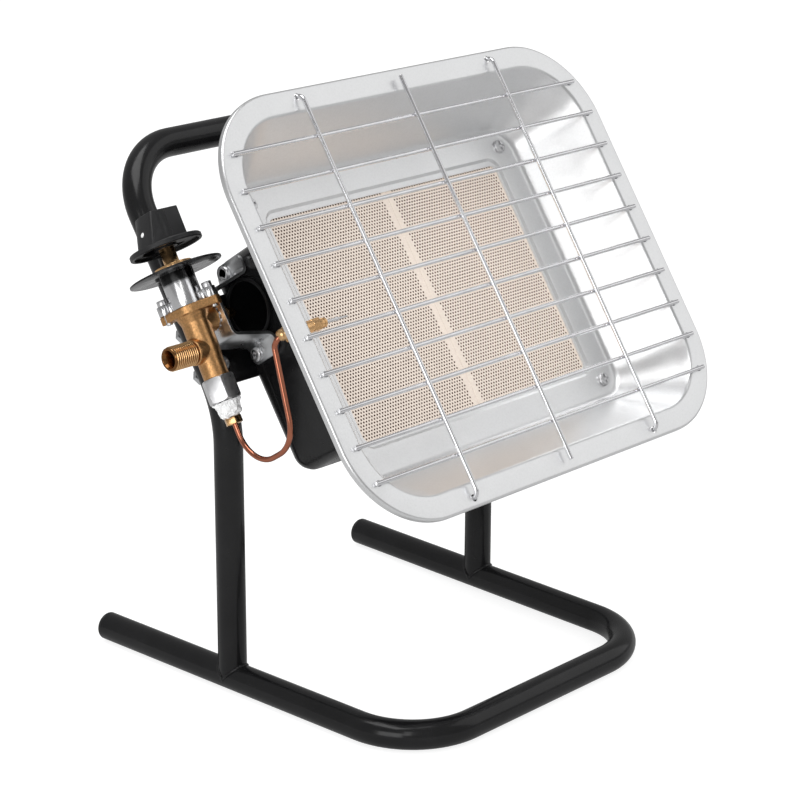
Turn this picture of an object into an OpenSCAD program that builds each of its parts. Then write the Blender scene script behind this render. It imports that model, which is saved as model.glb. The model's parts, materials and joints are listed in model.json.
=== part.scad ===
// Portable gas heater: a ceramic plaque burner in a pressed reflector with a welded
// wire guard, carried by a stand bent from tube, with a push-and-turn gas valve.
// Lengths are millimetres. The origin is on the floor under the middle of the outline,
// +Z is up and the reflector faces -Y, leaning back.
// The head has axes of its own: X across, Y up the face, Z out of it, and zero at the
// middle of the flat rim. The valve has its own too: Z along the stem, zero where the
// outlet crosses it.

/* [Stand] */
// Outer diameter of the stand's tube
tube_d = 16; // [15:0.5:18]
// Wall of the stand's tube
tube_wall = 1.5; // [1:0.1:2.5]
// Rear ends of the legs to the centre line of the front cross tube
leg_length = 239; // [220:1:260]
// Centre lines of the legs apart, where they would meet the front tube
leg_gap = 196; // [190:1:215]
// How far each leg spreads outward on its way to the rear end
leg_spread = 6.5; // [2:0.5:10]
// Centre line radius of the two front bends
base_bend_r = 42; // [30:1:60]
// Rear ends of the legs to the posts
post_setback = 103; // [95:1:110]
// Height at which a post starts to lean back
knee_z = 162.6; // [150:0.2:180]
// Centre line radius of the lean
knee_bend_r = 65; // [40:1:80]
// Length of the leaning part, from the knee to the handle
hoop_rise = 152.3; // [145:0.1:160]
// Centre line radius of the handle's corners
handle_bend_r = 37; // [30:1:40]

/* [Reflector] */
// How far the face leans back
lean = 33.7; // [25:0.1:40]
// Knee to the middle of the face, up the lean
head_rise = 13.3; // [5:0.1:20]
// Sheet thickness of the reflector
sheet_t = 0.8; // [0.6:0.1:1]
// Edge of the opening to where the corners' rounding starts, across
floor_out_w = 4.5; // [3:0.5:8]
// Edge of the opening to where the corners' rounding starts, up the face
floor_out_h = 4; // [3:0.5:8]
// Corner radius of the rim's outer edge
rim_r = 50; // [48:0.5:54]
// Width of the flat rim
rim_w = 13; // [11:0.5:14]
// Depth of the dish below the rim
dish_depth = 40; // [38:0.5:45]
// Corner radius of the floor
floor_r = 15.5; // [15.5:0.5:18]
// How far the opening's edge covers the plaques, across
cover_w = 3; // [2:0.5:4]
// How far the opening's edge covers the plaques, up the face
cover_h = 2.5; // [2:0.5:3]

/* [Guard] */
// Diameter of the guard's wires
wire_d = 2.4; // [2:0.1:3]
// Spacing of the cross wires
wire_pitch = 19.85; // [18:0.05:20]
// Rim's edge to the ends of the cross wires
wire_in = 7.3; // [6:0.1:9]
// Middle wire to each outer long wire
long_gap = 73.5; // [60:0.5:80]

/* [Burner] */
// Width of one plaque
plaque_w = 92; // [91:0.5:93]
// Height of a plaque
plaque_h = 132; // [131:0.5:133]
// Thickness of a plaque
plaque_t = 12.8; // [12:0.1:13.5]
// How far the plaques rest on the housing's ledge, across
ledge_w = 6; // [4:0.5:9]
// How far the plaques rest on the housing's ledge, up the face
ledge_h = 4.5; // [3:0.5:6]
// Rear face of the gas chamber behind the rim
chamber_back = 105.8; // [103:0.1:112]

/* [Valve] */
// Chamber's left wall to the valve stem's axis
valve_out = 39; // [37:0.5:42]
// Chamber's top to the mixer tube's axis
mixer_down = 31; // [29:0.5:34]
// Mixer tube's axis behind the rim
mixer_back = 84.3; // [80:0.1:88]
// Lean of the stem toward the front, away from the face's own lean
stem_tip = 3.04; // [0:0.02:6]
// Major diameter of the gas inlet's thread, G 1/4
inlet_d = 13.157; // [12:0.001:14]
// Length of the gas inlet's thread
inlet_length = 16.5; // [14:0.1:18]
// How far the stem can be pushed in
push_travel = 4; // [2:0.5:5]

/* [Hidden] */
$fn = 64;

// Overrun of a cut past the face it opens
cut = 1;
// Clearance round a screw in its hole
screw_gap = 0.1;
// Radial running clearance of a shaft in its bearing
run_gap = 0.05;
// Clearance between pieces that are only laid together
lay_gap = 0.2;
// Straight steps in each rounded fold of a sheet's section
fold_steps = 5;
// A bend is this much larger in radius than its straights, which run this far into it
bend_swell = 0.1;
bend_lap = 0.5;

// Stand
tube_r = tube_d / 2;
// Thickness of a leg's end cap outside the tube
cap_t = 2;
// Radius of the cap's rounded edge
cap_edge_r = cap_t / 2;
// How far the cap's plug goes into the tube
cap_plug = 9;
// Thickness of the plate across the posts
plate_t = 2;
// Lower edge of the plate, up the face from its middle
plate_low = -2;
// Height of the plate
plate_h = 48;
// Corner radius of the plate
plate_r = 5;
// Edge of the plate to its bolts, up the face
bolt_inset = 12;
// Radius of the bolts in the plate
bolt_r = 2.5;
// Radius of a bolt's head
bolt_head_r = 4.6;
// Height of a bolt's head
bolt_head_h = 2.8;
// Across the flats of a bolt's nut
bolt_nut = 8;
// Middle of the head to the bolts into the chamber
chamber_bolt_x = 55;
// How far those bolts reach into the chamber
chamber_bolt_in = 5;

leg_x = leg_gap / 2;
rear_x = leg_x + leg_spread;
spread_angle = atan2(leg_spread, leg_length);
post_x = leg_x + leg_spread * (leg_length - post_setback) / leg_length;
base_line = [[-rear_x, 0, tube_r], [-leg_x, -leg_length, tube_r],
    [leg_x, -leg_length, tube_r], [rear_x, 0, tube_r]];
knee = [post_x, -post_setback, knee_z];
up_face = [0, sin(lean), cos(lean)];
out_face = [0, -cos(lean), sin(lean)];
hoop_top = knee + up_face * hoop_rise;
function mirrored_x(p) = [-p[0], p[1], p[2]];
hoop_line = [mirrored_x([knee[0], knee[1], tube_r]), mirrored_x(knee), mirrored_x(hoop_top),
    hoop_top, knee, [knee[0], knee[1], tube_r]];

// Head
standoff = chamber_back + plate_t + tube_r;
head_mid = [0, knee[1], knee[2]] + up_face * head_rise + out_face * standoff;
plaque_half = [plaque_w, plaque_h / 2];
opening = plaque_half - [cover_w, cover_h];
core = opening + [floor_out_w, floor_out_h];
// Depth of the rim's turned-back lip
lip_h = 3.5;
// Fold radius between rim and lip
lip_fold_r = 1.5;
// Fold radius between rim and wall
rim_fold_r = 3;
// Fold radius between wall and floor
floor_fold_r = 5;
rim_inner_r = rim_r - rim_w;
// Inner face of the dish's left wall at height z, and the wall's thickness across
function wall_x(z) = -core[0] - floor_r - (rim_inner_r - floor_r) * (dish_depth + z) / dish_depth;
wall_across = sheet_t / cos(atan2(rim_inner_r - floor_r, dish_depth));
// Outer corner radius of the recess round the opening
recess_r = 8;
// Width of the recess's border, across and up the face
recess_border = [3, 4.5];
// Depth of the recess
recess_depth = 1.2;
// Width of the recess's slope
recess_slope = 1.5;
// Fold radius of the recess's edges
recess_fold_r = 0.6;
// Flat margin on which two sheets of one pressing overlap
seam = 1;
// Corner radius of the opening
opening_r = 4;
recess_half = opening + recess_border;
recess_core = [recess_half[0] - recess_r, recess_half[1] - recess_r];
recess_back = dish_depth + recess_depth + sheet_t;
// Side of the plaque tray to the screws through the floor
screw_out = [3.9, 5.5];
// Radius of those screws and of their heads
screw_r = 2;
screw_head_r = 3.9;
screw_head_h = 2.2;
// Length of a reflector screw behind the floor
screw_reach = 6;

// Guard
wire_r = wire_d / 2;
// Gap left between crossing wires, where the welds join them
weld_gap = 0.02;
cross_wires = 10;
long_wire_z = wire_r + wire_d + weld_gap;
wire_reach = core[0] + rim_r - wire_in;
// Rim's edge to the hook holes
hook_in = 5;
hook_at = core[1] + rim_r - hook_in;
// Bend radius of a hooked end
hook_r = 4;
// How far a hooked end goes behind the rim's front
hook_depth = 5;
// Radius of the hook holes
hook_hole_r = 2;
// Rim's edge to the ends of the middle long wire
middle_in = 5.5;
middle_reach = core[1] + rim_r - middle_in;
// How much shorter the top and the bottom cross wires are at each end
top_inset = 3.8;
bottom_inset = 3.3;

// Burner
// Thickness of the gasket behind the plaques
gasket_t = 1.5;
// Width of the gasket's bar between the plaques
gasket_bar = 8;
// Thickness of the perforated baffle plate
baffle_t = 0.8;
// Columns and rows of holes in the baffle plate, their spacing and radius
baffle_grid = [11, 7];
baffle_pitch = 15;
baffle_hole_r = 3.5;
// Corner radius of the baffle plate
baffle_r = 4;
// Thickness of the housing's sheet
pan_t = 0.8;
// Clearance of the plaques in the housing, across and up the face
plaque_gap = [1.5, 1.5];
// Corner radius of the plaque tray inside, and of its flange
tray_r = 5;
flange_r = 17;
// Fold radius of the tray's edges
tray_fold_r = 1.2;
// Corner radius of the chamber, seen from behind, and of its rear edge
chamber_r = 11;
chamber_edge_r = 10;
tray_half = plaque_half + plaque_gap;
screw_at = tray_half + screw_out;
tray_core = [tray_half[0] - tray_r, tray_half[1] - tray_r];
flange_front = dish_depth + sheet_t;
ledge_at = recess_back + plaque_t + gasket_t + baffle_t;
chamber_half = plaque_half - [ledge_w, ledge_h];
chamber_core = [chamber_half[0] - chamber_r, chamber_half[1] - chamber_r];
chamber_seam_r = chamber_r + 2 * seam;
valve_offset = chamber_half[0] + valve_out;
mixer_rise = chamber_half[1] - mixer_down;

// Mixer tube: radii of its mouth, throat and far end, and where they lie
mixer_lip_r = 16.6;
mixer_mouth_r = 14.5;
mixer_throat_r = 8.5;
mixer_end_r = 12;
mixer_t = 1;
mixer_lip_t = 1.5;
// Lengths of the bell, the throat and the flare
mixer_bell = 26;
mixer_throat = 18;
mixer_flare = 80;
mixer_fold_r = 9;

// Thermocouple
probe_y = 0.5;
probe_z = -26.8;
// Dish's left wall at the probe, and from there outward to the fitting's end
probe_wall = wall_x(probe_z);
fitting_out = probe_wall - 6.9;
// From the wall inward to the ends of the fitting's hex and neck and of the probe's steps
fitting_hex_end = probe_wall + 19.1;
fitting_neck_end = probe_wall + 23.1;
probe_step = probe_wall + 31.1;
probe_tip = probe_wall + 37.1;
fitting_nut_r = 3.8;
// The fitting's nut ends clear of the sloping wall
fitting_nut_end = wall_x(probe_z + fitting_nut_r) - wall_across - lay_gap;
fitting_hex = 6;
fitting_thread_r = 2.9;
fitting_neck_r = 2.2;
probe_r = 1.5;
probe_tip_r = 1;
lead_r = 1.5;
// How far the probe sits in the fitting's neck
probe_seat = 8;

// Valve: heights along the stem from the outlet's axis
body_low = -30.8;
flange_low = 4.8;
flange_top = 9.2;
ear_top = 14.5;
can_top = 27.8;
shield_t = 1;
collar_top = 32.4;
skirt_low = 43.8;
skirt_top = 47.3;
knob_top = 62;
stem_low = 2;
stem_top = 57;
plug_low = -7;
magnet_low = -43.9;
wrap_low = -53;
nut_low = -56.7;
inlet_at = -14.9;
// Valve: radii
barrel_r = 7.5;
barrel_foot_r = 6.9;
barrel_neck_r = 9;
flange_mid_r = 9.4;
flange_ear_r = 4.4;
// Stem's axis to a bonnet screw
ear_at = 13;
// Turn of the flange about the stem
flange_turn = -54;
boss_r = 7;
// Clearance of the bracket beside the flange
flange_relief = 0.6;
inlet_root_r = 7;
// Length of the inlet's plain root, from the stem's axis to the thread
inlet_root_l = 9.2;
inlet_chamfer = 0.8;
inlet_bore_r = 2.6;
inlet_cone_r = 4.6;
inlet_cone_l = 5;
inlet_bore_l = 20;
outlet_bore_r = 2.6;
plug_r = 5.4;
can_r = 9.1;
can_wall = 1.5;
ear_r = 3.7;
ear_web = 4;
ear_screw_r = 1.7;
ear_head_r = 2.7;
ear_head_h = 3;
ear_slot_w = 0.8;
ear_slot_h = 1.2;
collar_r = 10.15;
collar_neck_r = 5.4;
collar_neck_low = 25;
stem_r = 4.15;
stem_flat = 3.1;
stem_flat_low = 46;
tang_w = 5;
tang_top = flange_top + push_travel + lay_gap;
shoulder_r = 6.6;
shoulder_low = 22.8;
shoulder_top = 24.7;
shield_r = 25.4;
// Chord of the shield's bent flap, its fold radius, width, lower edge and direction
flap_at = 16;
flap_fold_r = 5;
flap_w = 24;
flap_low = 18.6;
flap_turn = -47;
flap_edge_r = 4;
// Return spring of the stem
spring_r = 5.5;
spring_wire = 1;
spring_turns = 5;
spring_rings = 12;
spring_sides = 6;
spring_gap = 0.3;

// Knob
skirt_r = 21.2;
knob_wall = 2;
// Ends of the grip along X at its foot and at its top
grip_foot_x = [-20, 12];
grip_top_x = [-14, 12];
// Half thickness of the grip at its foot and at its top
grip_foot_y = 12;
grip_top_y = 8;
grip_nose_r = 6;
grip_tail_r = 1.5;
hub_r = 6.2;
dot_r = 1.3;
dot_at = [-6, 50.5];
dot_depth = 0.8;
dot_proud = 0.2;

// Bracket and what it carries
bracket_t = 2;
// Chamber's wall to the outside of the web
bracket_w = 27.2;
// Faces along X: outside of the chamber's wall, and outside of the web
tab_x = -chamber_half[0];
web_x = tab_x - bracket_w;
// Front face of the bracket's arms, and the rear ends of its web and tabs
arm_z = 12.5 - mixer_back;
web_back = -10.5 - mixer_back;
tab_back = -12.5 - mixer_back;
bracket_fold_r = 2.5;
// Web, tabs and their screws, up the face from the mixer tube's axis
web_y = [mixer_rise - 13.2, mixer_rise + 11.6];
low_tab_y = [mixer_rise - 28.5, mixer_rise - 15];
high_tab_y = [mixer_rise + 16.5, mixer_rise + 27];
low_screw = [mixer_rise - 23.9, -6.8 - mixer_back];
high_screw = [mixer_rise + 22.7, -4.6 - mixer_back];
tab_screw_r = 1.9;
tab_head_r = 3.9;
tab_head_h = 2.4;
tab_screw_in = 7;
washer_t = 0.8;
washer_r = 7.3;
washer_teeth = 12;
washer_tooth_w = 1.6;
washer_tooth_h = 1.1;
injector_r = 3.9;
injector_hex = 12;
injector_hex_l = 5;
// Chamber's wall to the injector's tip
injector_out = 11;
injector_tip = tab_x - injector_out;
injector_nose_r = 3.2;
injector_tip_r = 1.6;
injector_bore_r = 0.8;
injector_in = 4;
boss_end = web_x - washer_t;

// Magnet unit and its nut
magnet_hex = 16;
magnet_chamfer = 1;
wrap_r = [7.4, 6.6, 7.2, 5.4];
nut_hex = 8.5;

// Route of the thermocouple lead in the head's axes, from the nut to the fitting
lead_from_nut = valve_point(-55);
lead_x = probe_wall - 10.9;
lead_line = [lead_from_nut, valve_point(-82), [lead_x, -52, -49], [lead_x, -3, -33.2],
    [lead_x, probe_y, probe_z], [probe_wall - 2.9, probe_y, probe_z]];
lead_bends = [0, 19, 19, 4, 4, 0];

// Outline, which places the origin
left_end = -valve_offset - inlet_reach();
right_end = core[0] + rim_r;
front_end = head_mid[1] + up_face[1] * -middle_reach + out_face[1] * (long_wire_z + wire_r);
rear_end = tube_r * sin(spread_angle);
shift = [-(left_end + right_end) / 2, -(front_end + rear_end) / 2, 0];

// Colours
black = "#1b1b1c";
silver = "#c4c6c8";
zinc = "#a9adb0";
bright = "#d3d5d8";
brass = "#b98a46";
gold = "#c9a03c";
copper = "#b5653f";
clay = "#e3c3ab";
fibre = "#e9e6df";

function inlet_reach() = inlet_root_l + inlet_length;
// Point on the stem's axis in the head's axes
function valve_point(s) = [-valve_offset, mixer_rise + s * cos(stem_tip),
    -mixer_back + s * sin(stem_tip)];

// Unit vector from a to b
function way(a, b) = (b - a) / norm(b - a);
// Flat direction turned a quarter to the left
function left(d) = [-d[1], d[0]];
// Positive where a flat line turns left from a to b
function turning(a, b) = a[0] * b[1] - a[1] * b[0];
// Directions of a line before and after its point i
function before(p, i) = let (j = max(i, 1)) way(p[j - 1], p[j]);
function after(p, i) = let (j = min(i, len(p) - 2)) way(p[j], p[j + 1]);
// Line p moved to its left by t
function aside(p, t) = [for (i = [0:len(p) - 1])
    let (a = before(p, i), b = after(p, i)) p[i] + (left(a) + left(b)) * t / (1 + a * b)];
// Fold radii of that moved line, so that the sheet keeps its thickness in the folds
function aside_radii(p, r, t) = [for (i = [0:len(p) - 1])
    r[i] == 0 ? 0 : r[i] - t * sign(turning(before(p, i), after(p, i)))];
// Points of the arc that rounds corner i with radius r
function fold(p, r, i) =
    let (a = before(p, i), b = after(p, i), half = acos(a * b) / 2,
        side = sign(turning(a, b)), mid = p[i] + way(a, b) * r / cos(half),
        first = -side * left(a), start = atan2(first[1], first[0]))
    [for (k = [0:fold_steps]) let (w = start + side * 2 * half * k / fold_steps)
        mid + r * [cos(w), sin(w)]];
function folded(p, r) = [for (i = [0:len(p) - 1]) each (r[i] > 0 ? fold(p, r[i], i) : [p[i]])];
function reversed(p) = [for (i = [len(p) - 1:-1:0]) p[i]];
// Section of a sheet whose one face follows p, with the thickness on its left
function sheet_section(p, r, t) =
    concat(folded(p, r), reversed(folded(aside(p, t), aside_radii(p, r, t))));

// Rectangle with round corners, half sizes h
module rounded_rect(h, r) {
    square([2 * h[0], 2 * (h[1] - r)], center = true);
    square([2 * (h[0] - r), 2 * h[1]], center = true);
    for (sx = [-1, 1], sy = [-1, 1])
        translate([sx * (h[0] - r), sy * (h[1] - r)]) circle(r);
}

// Pressing whose section runs round a straight core of half sizes c
module pressing(section, c) {
    for (a = [[1, 1, 0], [-1, 1, 90], [-1, -1, 180], [1, -1, 270]])
        translate([a[0] * c[0], a[1] * c[1], 0])
            rotate(a[2])
                rotate_extrude(angle = 90)
                    polygon(section);
    for (a = [[0, c[0], c[1]], [90, c[1], c[0]], [180, c[0], c[1]], [270, c[1], c[0]]])
        rotate(a[0])
            translate([a[1], a[2], 0])
                rotate([90, 0, 0])
                    linear_extrude(2 * a[2])
                        polygon(section);
}

// Plate of half sizes h whose front face is at z
module core_plate(h, z, t) {
    translate([-h[0], -h[1], z - t])
        cube([2 * h[0], 2 * h[1], t]);
}

// Places children with their x and z axes along two given directions
module along(pos, x, z) {
    y = cross(z, x);
    multmatrix([[x[0], y[0], z[0], pos[0]], [x[1], y[1], z[1], pos[1]],
        [x[2], y[2], z[2], pos[2]]])
        children();
}

// Any direction square to d
function square_to(d) = let (c = cross(d, abs(d[0]) < abs(d[1]) ? [1, 0, 0] : [0, 1, 0]))
    c / norm(c);
// How much of a straight the bend at point i takes
function bend_take(p, r, i) = (i == 0 || i == len(p) - 1) ? 0
    : r[i] * tan(acos(before(p, i) * after(p, i)) / 2);

// Round bar, or tube where wall is set, that follows line p with bend radii r
module run(p, r, d, wall = 0) {
    for (i = [0:len(p) - 2]) {
        dir = way(p[i], p[i + 1]);
        start = p[i] + dir * bend_take(p, r, i);
        lap_a = i == 0 ? 0 : bend_lap;
        lap_b = i == len(p) - 2 ? 0 : bend_lap;
        along(start - dir * lap_a, square_to(dir), dir)
            linear_extrude(norm(p[i + 1] - p[i]) - bend_take(p, r, i) - bend_take(p, r, i + 1)
                + lap_a + lap_b)
                ring(d, wall);
    }
    for (i = [1:len(p) - 2]) {
        a = before(p, i);
        b = after(p, i);
        half = acos(a * b) / 2;
        mid = p[i] + way(a, b) * r[i] / cos(half);
        x = way(mid, p[i] - a * bend_take(p, r, i));
        along(mid, x, cross(x, a))
            rotate_extrude(angle = 2 * half)
                translate([r[i], 0])
                    ring(d + 2 * bend_swell, wall);
    }
}

module ring(d, wall = 0) {
    difference() {
        circle(d = d);
        if (wall > 0) circle(d = d - 2 * wall);
    }
}

// Six-sided bar, af across its flats
module hex_bar(af, h) {
    cylinder(d = af / cos(30), h = h, $fn = 6);
}

// Two circles round the centre line joined by their straight tangents, to both sides
module eared_plate(mid_r, ear_r, reach) {
    w = acos((mid_r - ear_r) / reach);
    circle(mid_r);
    for (s = [-1, 1]) {
        translate([s * reach, 0]) circle(ear_r);
        polygon([[s * mid_r * cos(w), mid_r * sin(w)], [s * (reach + ear_r * cos(w)), ear_r * sin(w)],
            [s * (reach + ear_r * cos(w)), -ear_r * sin(w)], [s * mid_r * cos(w), -mid_r * sin(w)]]);
    }
}

// Pan head with a slot
module slotted_head(r, h, slot_w, slot_h) {
    difference() {
        cylinder(r = r, h = h);
        translate([-r - cut, -slot_w / 2, h - slot_h])
            cube([2 * (r + cut), slot_w, slot_h + cut]);
    }
}

// Pan head with a rounded top and a cross recess
module pan_head(r, h) {
    edge = h / 2;
    arm = r / 3;
    difference() {
        union() {
            cylinder(r = r, h = h - edge);
            rotate_extrude() {
                square([r - edge, h]);
                translate([r - edge, h - edge])
                    intersection() {
                        circle(edge);
                        square(edge);
                    }
            }
        }
        for (w = [0, 90])
            rotate(w)
                translate([-arm * 2, -arm / 2, h / 2])
                    cube([arm * 4, arm, h]);
    }
}

module stand_frame() {
    translate(shift) children();
}

module head_frame() {
    translate(shift + head_mid) rotate([90 - lean, 0, 0]) children();
}

module valve_frame() {
    head_frame() translate(valve_point(0)) rotate([stem_tip - 90, 0, 0]) children();
}

// A place on the chamber's left wall, facing outward along -X
module left_wall(yz, x) {
    translate([x, yz[0], yz[1]]) rotate([0, -90, 0]) children();
}

module base_tube() {
    color(black)
        stand_frame()
            run([base_line[0] + way(base_line[0], base_line[1]) * cap_t, base_line[1],
                base_line[2], base_line[3] + way(base_line[3], base_line[2]) * cap_t],
                [0, base_bend_r, base_bend_r, 0], tube_d, tube_wall);
}

module leg_end_caps() {
    color(black)
        stand_frame()
            for (s = [-1, 1])
                translate([s * rear_x, 0, tube_r])
                    rotate([90, 0, s * -spread_angle])
                        rotate_extrude() {
                            translate([0, cap_edge_r]) square([tube_r, cap_t - cap_edge_r]);
                            square([tube_r - cap_edge_r, cap_t]);
                            translate([tube_r - cap_edge_r, cap_edge_r]) circle(cap_edge_r);
                            square([tube_r - tube_wall - screw_gap, cap_t + cap_plug]);
                        }
}

module post_hoop() {
    color(black)
        difference() {
            stand_frame()
                run(hoop_line, [0, knee_bend_r, handle_bend_r, handle_bend_r, knee_bend_r, 0],
                    tube_d, tube_wall);
            stand_frame()
                for (s = [0, 1])
                    mirror([s, 0, 0])
                        along(base_line[3], square_to(way(base_line[3], base_line[2])),
                            way(base_line[3], base_line[2]))
                            cylinder(d = tube_d, h = leg_length);
            head_frame()
                for (s = [-1, 1], y = post_bolts_y())
                    translate([s * post_x, y, -standoff - tube_r - cut])
                        cylinder(r = bolt_r + screw_gap, h = tube_d + 2 * cut);
        }
}

function post_bolts_y() = [plate_low + bolt_inset, plate_low + plate_h - bolt_inset];

module cross_plate() {
    color(black)
        head_frame()
            translate([0, plate_low + plate_h / 2, -chamber_back - plate_t])
                difference() {
                    linear_extrude(plate_t)
                        rounded_rect([post_x + tube_r, plate_h / 2], plate_r);
                    for (x = [-post_x, -chamber_bolt_x, chamber_bolt_x, post_x], s = [-1, 1])
                        translate([x, s * (plate_h / 2 - bolt_inset), -cut])
                            cylinder(r = bolt_r + screw_gap, h = plate_t + 2 * cut);
                }
}

module cross_plate_bolts() {
    color(zinc)
        head_frame()
            for (s = [-1, 1], y = post_bolts_y()) {
                translate([s * post_x, y, -chamber_back]) {
                    pan_head(bolt_head_r, bolt_head_h);
                    translate([0, 0, -plate_t - tube_d - bolt_head_h])
                        cylinder(r = bolt_r, h = plate_t + tube_d + bolt_head_h);
                    translate([0, 0, -plate_t - tube_d - bolt_head_h])
                        hex_bar(bolt_nut, bolt_head_h);
                }
                translate([s * chamber_bolt_x, y, -chamber_back - plate_t])
                    rotate([180, 0, 0]) {
                        pan_head(bolt_head_r, bolt_head_h);
                        translate([0, 0, -plate_t - chamber_bolt_in])
                            cylinder(r = bolt_r, h = plate_t + chamber_bolt_in);
                    }
            }
}

module reflector() {
    rim_line = [[rim_r, -lip_h], [rim_r, 0], [rim_inner_r, 0], [floor_r, -dish_depth],
        [0, -dish_depth]];
    recess_line = [[recess_r + 2 * seam, 0], [recess_r, 0], [recess_r - recess_slope, -recess_depth],
        [0, -recess_depth]];
    color(silver)
        head_frame()
            difference() {
                union() {
                    difference() {
                        union() {
                            pressing(sheet_section(rim_line, [0, lip_fold_r, rim_fold_r,
                                floor_fold_r, 0], sheet_t), core);
                            core_plate(core, -dish_depth, sheet_t);
                        }
                        translate([0, 0, -dish_depth - sheet_t - cut])
                            linear_extrude(sheet_t + 2 * cut)
                                rounded_rect(recess_half + [seam, seam], recess_r + seam);
                    }
                    translate([0, 0, -dish_depth])
                        pressing(sheet_section(recess_line, [0, recess_fold_r, recess_fold_r, 0],
                            sheet_t), recess_core);
                }
                translate([0, 0, -recess_back - cut])
                    linear_extrude(recess_depth + sheet_t + 2 * cut)
                        rounded_rect(opening, opening_r);
                for (sx = [-1, 1], sy = [-1, 1]) {
                    translate([sx * screw_at[0], sy * screw_at[1], -dish_depth - sheet_t - cut])
                        cylinder(r = screw_r + screw_gap, h = sheet_t + 2 * cut);
                    translate([sx * long_gap, sy * hook_at, -sheet_t - cut])
                        cylinder(r = hook_hole_r, h = sheet_t + 2 * cut);
                }
                translate([-core[0] - rim_r, probe_y, probe_z])
                    rotate([0, 90, 0])
                        cylinder(r = fitting_thread_r + screw_gap, h = rim_r);
            }
}

module reflector_screws() {
    color(bright)
        head_frame()
            for (sx = [-1, 1], sy = [-1, 1])
                translate([sx * screw_at[0], sy * screw_at[1], -dish_depth]) {
                    pan_head(screw_head_r, screw_head_h);
                    translate([0, 0, -sheet_t - screw_reach])
                        cylinder(r = screw_r, h = sheet_t + screw_reach);
                }
}

module wire_guard() {
    color(bright)
        head_frame() {
            for (i = [0:cross_wires - 1]) {
                reach = wire_reach - (i == 0 ? top_inset : i == cross_wires - 1 ? bottom_inset : 0);
                translate([-reach, ((cross_wires - 1) / 2 - i) * wire_pitch, wire_r])
                    rotate([0, 90, 0])
                        cylinder(r = wire_r, h = 2 * reach);
            }
            for (s = [-1, 1])
                run([[s * long_gap, -hook_at, -hook_depth], [s * long_gap, -hook_at, long_wire_z],
                    [s * long_gap, hook_at, long_wire_z], [s * long_gap, hook_at, -hook_depth]],
                    [0, hook_r, hook_r, 0], wire_d);
            translate([0, middle_reach, long_wire_z])
                rotate([90, 0, 0])
                    cylinder(r = wire_r, h = 2 * middle_reach);
        }
}

// One plaque, on the side s of the middle
module plaque(s) {
    color(clay)
        head_frame()
            translate([s > 0 ? 0 : -plaque_w, -plaque_h / 2, -recess_back - plaque_t])
                cube([plaque_w, plaque_h, plaque_t]);
}

module plaque_left() {
    plaque(-1);
}

module plaque_right() {
    plaque(1);
}

module plaque_gasket() {
    inner = chamber_half - [pan_t, pan_t];
    color(fibre)
        head_frame()
            translate([0, 0, -recess_back - plaque_t - gasket_t])
                linear_extrude(gasket_t)
                    difference() {
                        square(2 * plaque_half, center = true);
                        for (s = [-1, 1])
                            translate([s * (gasket_bar / 2 + inner[0]) / 2, 0])
                                square([inner[0] - gasket_bar / 2, 2 * inner[1]], center = true);
                    }
}

module baffle_plate() {
    color(zinc)
        head_frame()
            translate([0, 0, -ledge_at])
                difference() {
                    linear_extrude(baffle_t)
                        rounded_rect(plaque_half, baffle_r);
                    for (i = [0:baffle_grid[0] - 1], j = [0:baffle_grid[1] - 1])
                        translate([(i - (baffle_grid[0] - 1) / 2) * baffle_pitch,
                            (j - (baffle_grid[1] - 1) / 2) * baffle_pitch, -cut])
                            cylinder(r = baffle_hole_r, h = baffle_t + 2 * cut);
                }
}

module burner_housing() {
    tray_line = [[flange_r, -flange_front], [tray_r, -flange_front], [tray_r, -ledge_at],
        [0, -ledge_at]];
    chamber_line = [[chamber_seam_r, -ledge_at], [chamber_r - pan_t, -ledge_at],
        [chamber_r - pan_t, -chamber_back + pan_t], [0, -chamber_back + pan_t]];
    color(black)
        head_frame()
            difference() {
                union() {
                    difference() {
                        union() {
                            pressing(sheet_section(tray_line, [0, tray_fold_r, tray_fold_r, 0],
                                pan_t), tray_core);
                            core_plate(tray_core, -ledge_at, pan_t);
                        }
                        translate([0, 0, -ledge_at - pan_t - cut])
                            linear_extrude(pan_t + 2 * cut)
                                rounded_rect(chamber_half + [seam, seam], chamber_r + seam);
                    }
                    pressing(sheet_section(chamber_line, [0, tray_fold_r,
                        chamber_edge_r - pan_t, 0], pan_t), chamber_core);
                    core_plate(chamber_core, -chamber_back + pan_t, pan_t);
                }
                for (sx = [-1, 1], sy = [-1, 1])
                    translate([sx * screw_at[0], sy * screw_at[1], -flange_front - pan_t - cut])
                        cylinder(r = screw_r + screw_gap, h = pan_t + 2 * cut);
                for (s = [-1, 1], y = post_bolts_y())
                    translate([s * chamber_bolt_x, y, -chamber_back - cut])
                        cylinder(r = bolt_r + screw_gap, h = pan_t + 2 * cut);
                for (yz = [low_screw, high_screw])
                    left_wall(yz, tab_x + pan_t + cut)
                        cylinder(r = tab_screw_r + screw_gap, h = pan_t + 2 * cut);
                left_wall([mixer_rise, -mixer_back], tab_x + pan_t + cut)
                    cylinder(r = mixer_mouth_r + mixer_t, h = pan_t + 2 * cut);
            }
}

module mixer_tube() {
    bell_end = mixer_lip_t + mixer_bell;
    throat_end = bell_end + mixer_throat;
    line = [[mixer_mouth_r, 0], [mixer_mouth_r, mixer_lip_t + mixer_t],
        [mixer_throat_r, bell_end], [mixer_throat_r, throat_end],
        [mixer_end_r, throat_end + mixer_flare]];
    color(black)
        head_frame()
            translate([tab_x - mixer_lip_t, mixer_rise, -mixer_back])
                rotate([0, 90, 0]) {
                    rotate_extrude()
                        polygon(sheet_section(line, [0, mixer_fold_r, mixer_fold_r,
                            mixer_fold_r, 0], -mixer_t));
                    difference() {
                        cylinder(r = mixer_lip_r, h = mixer_lip_t);
                        translate([0, 0, -cut])
                            cylinder(r = mixer_mouth_r + mixer_t / 2, h = mixer_lip_t + 2 * cut);
                    }
                }
}

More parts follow.
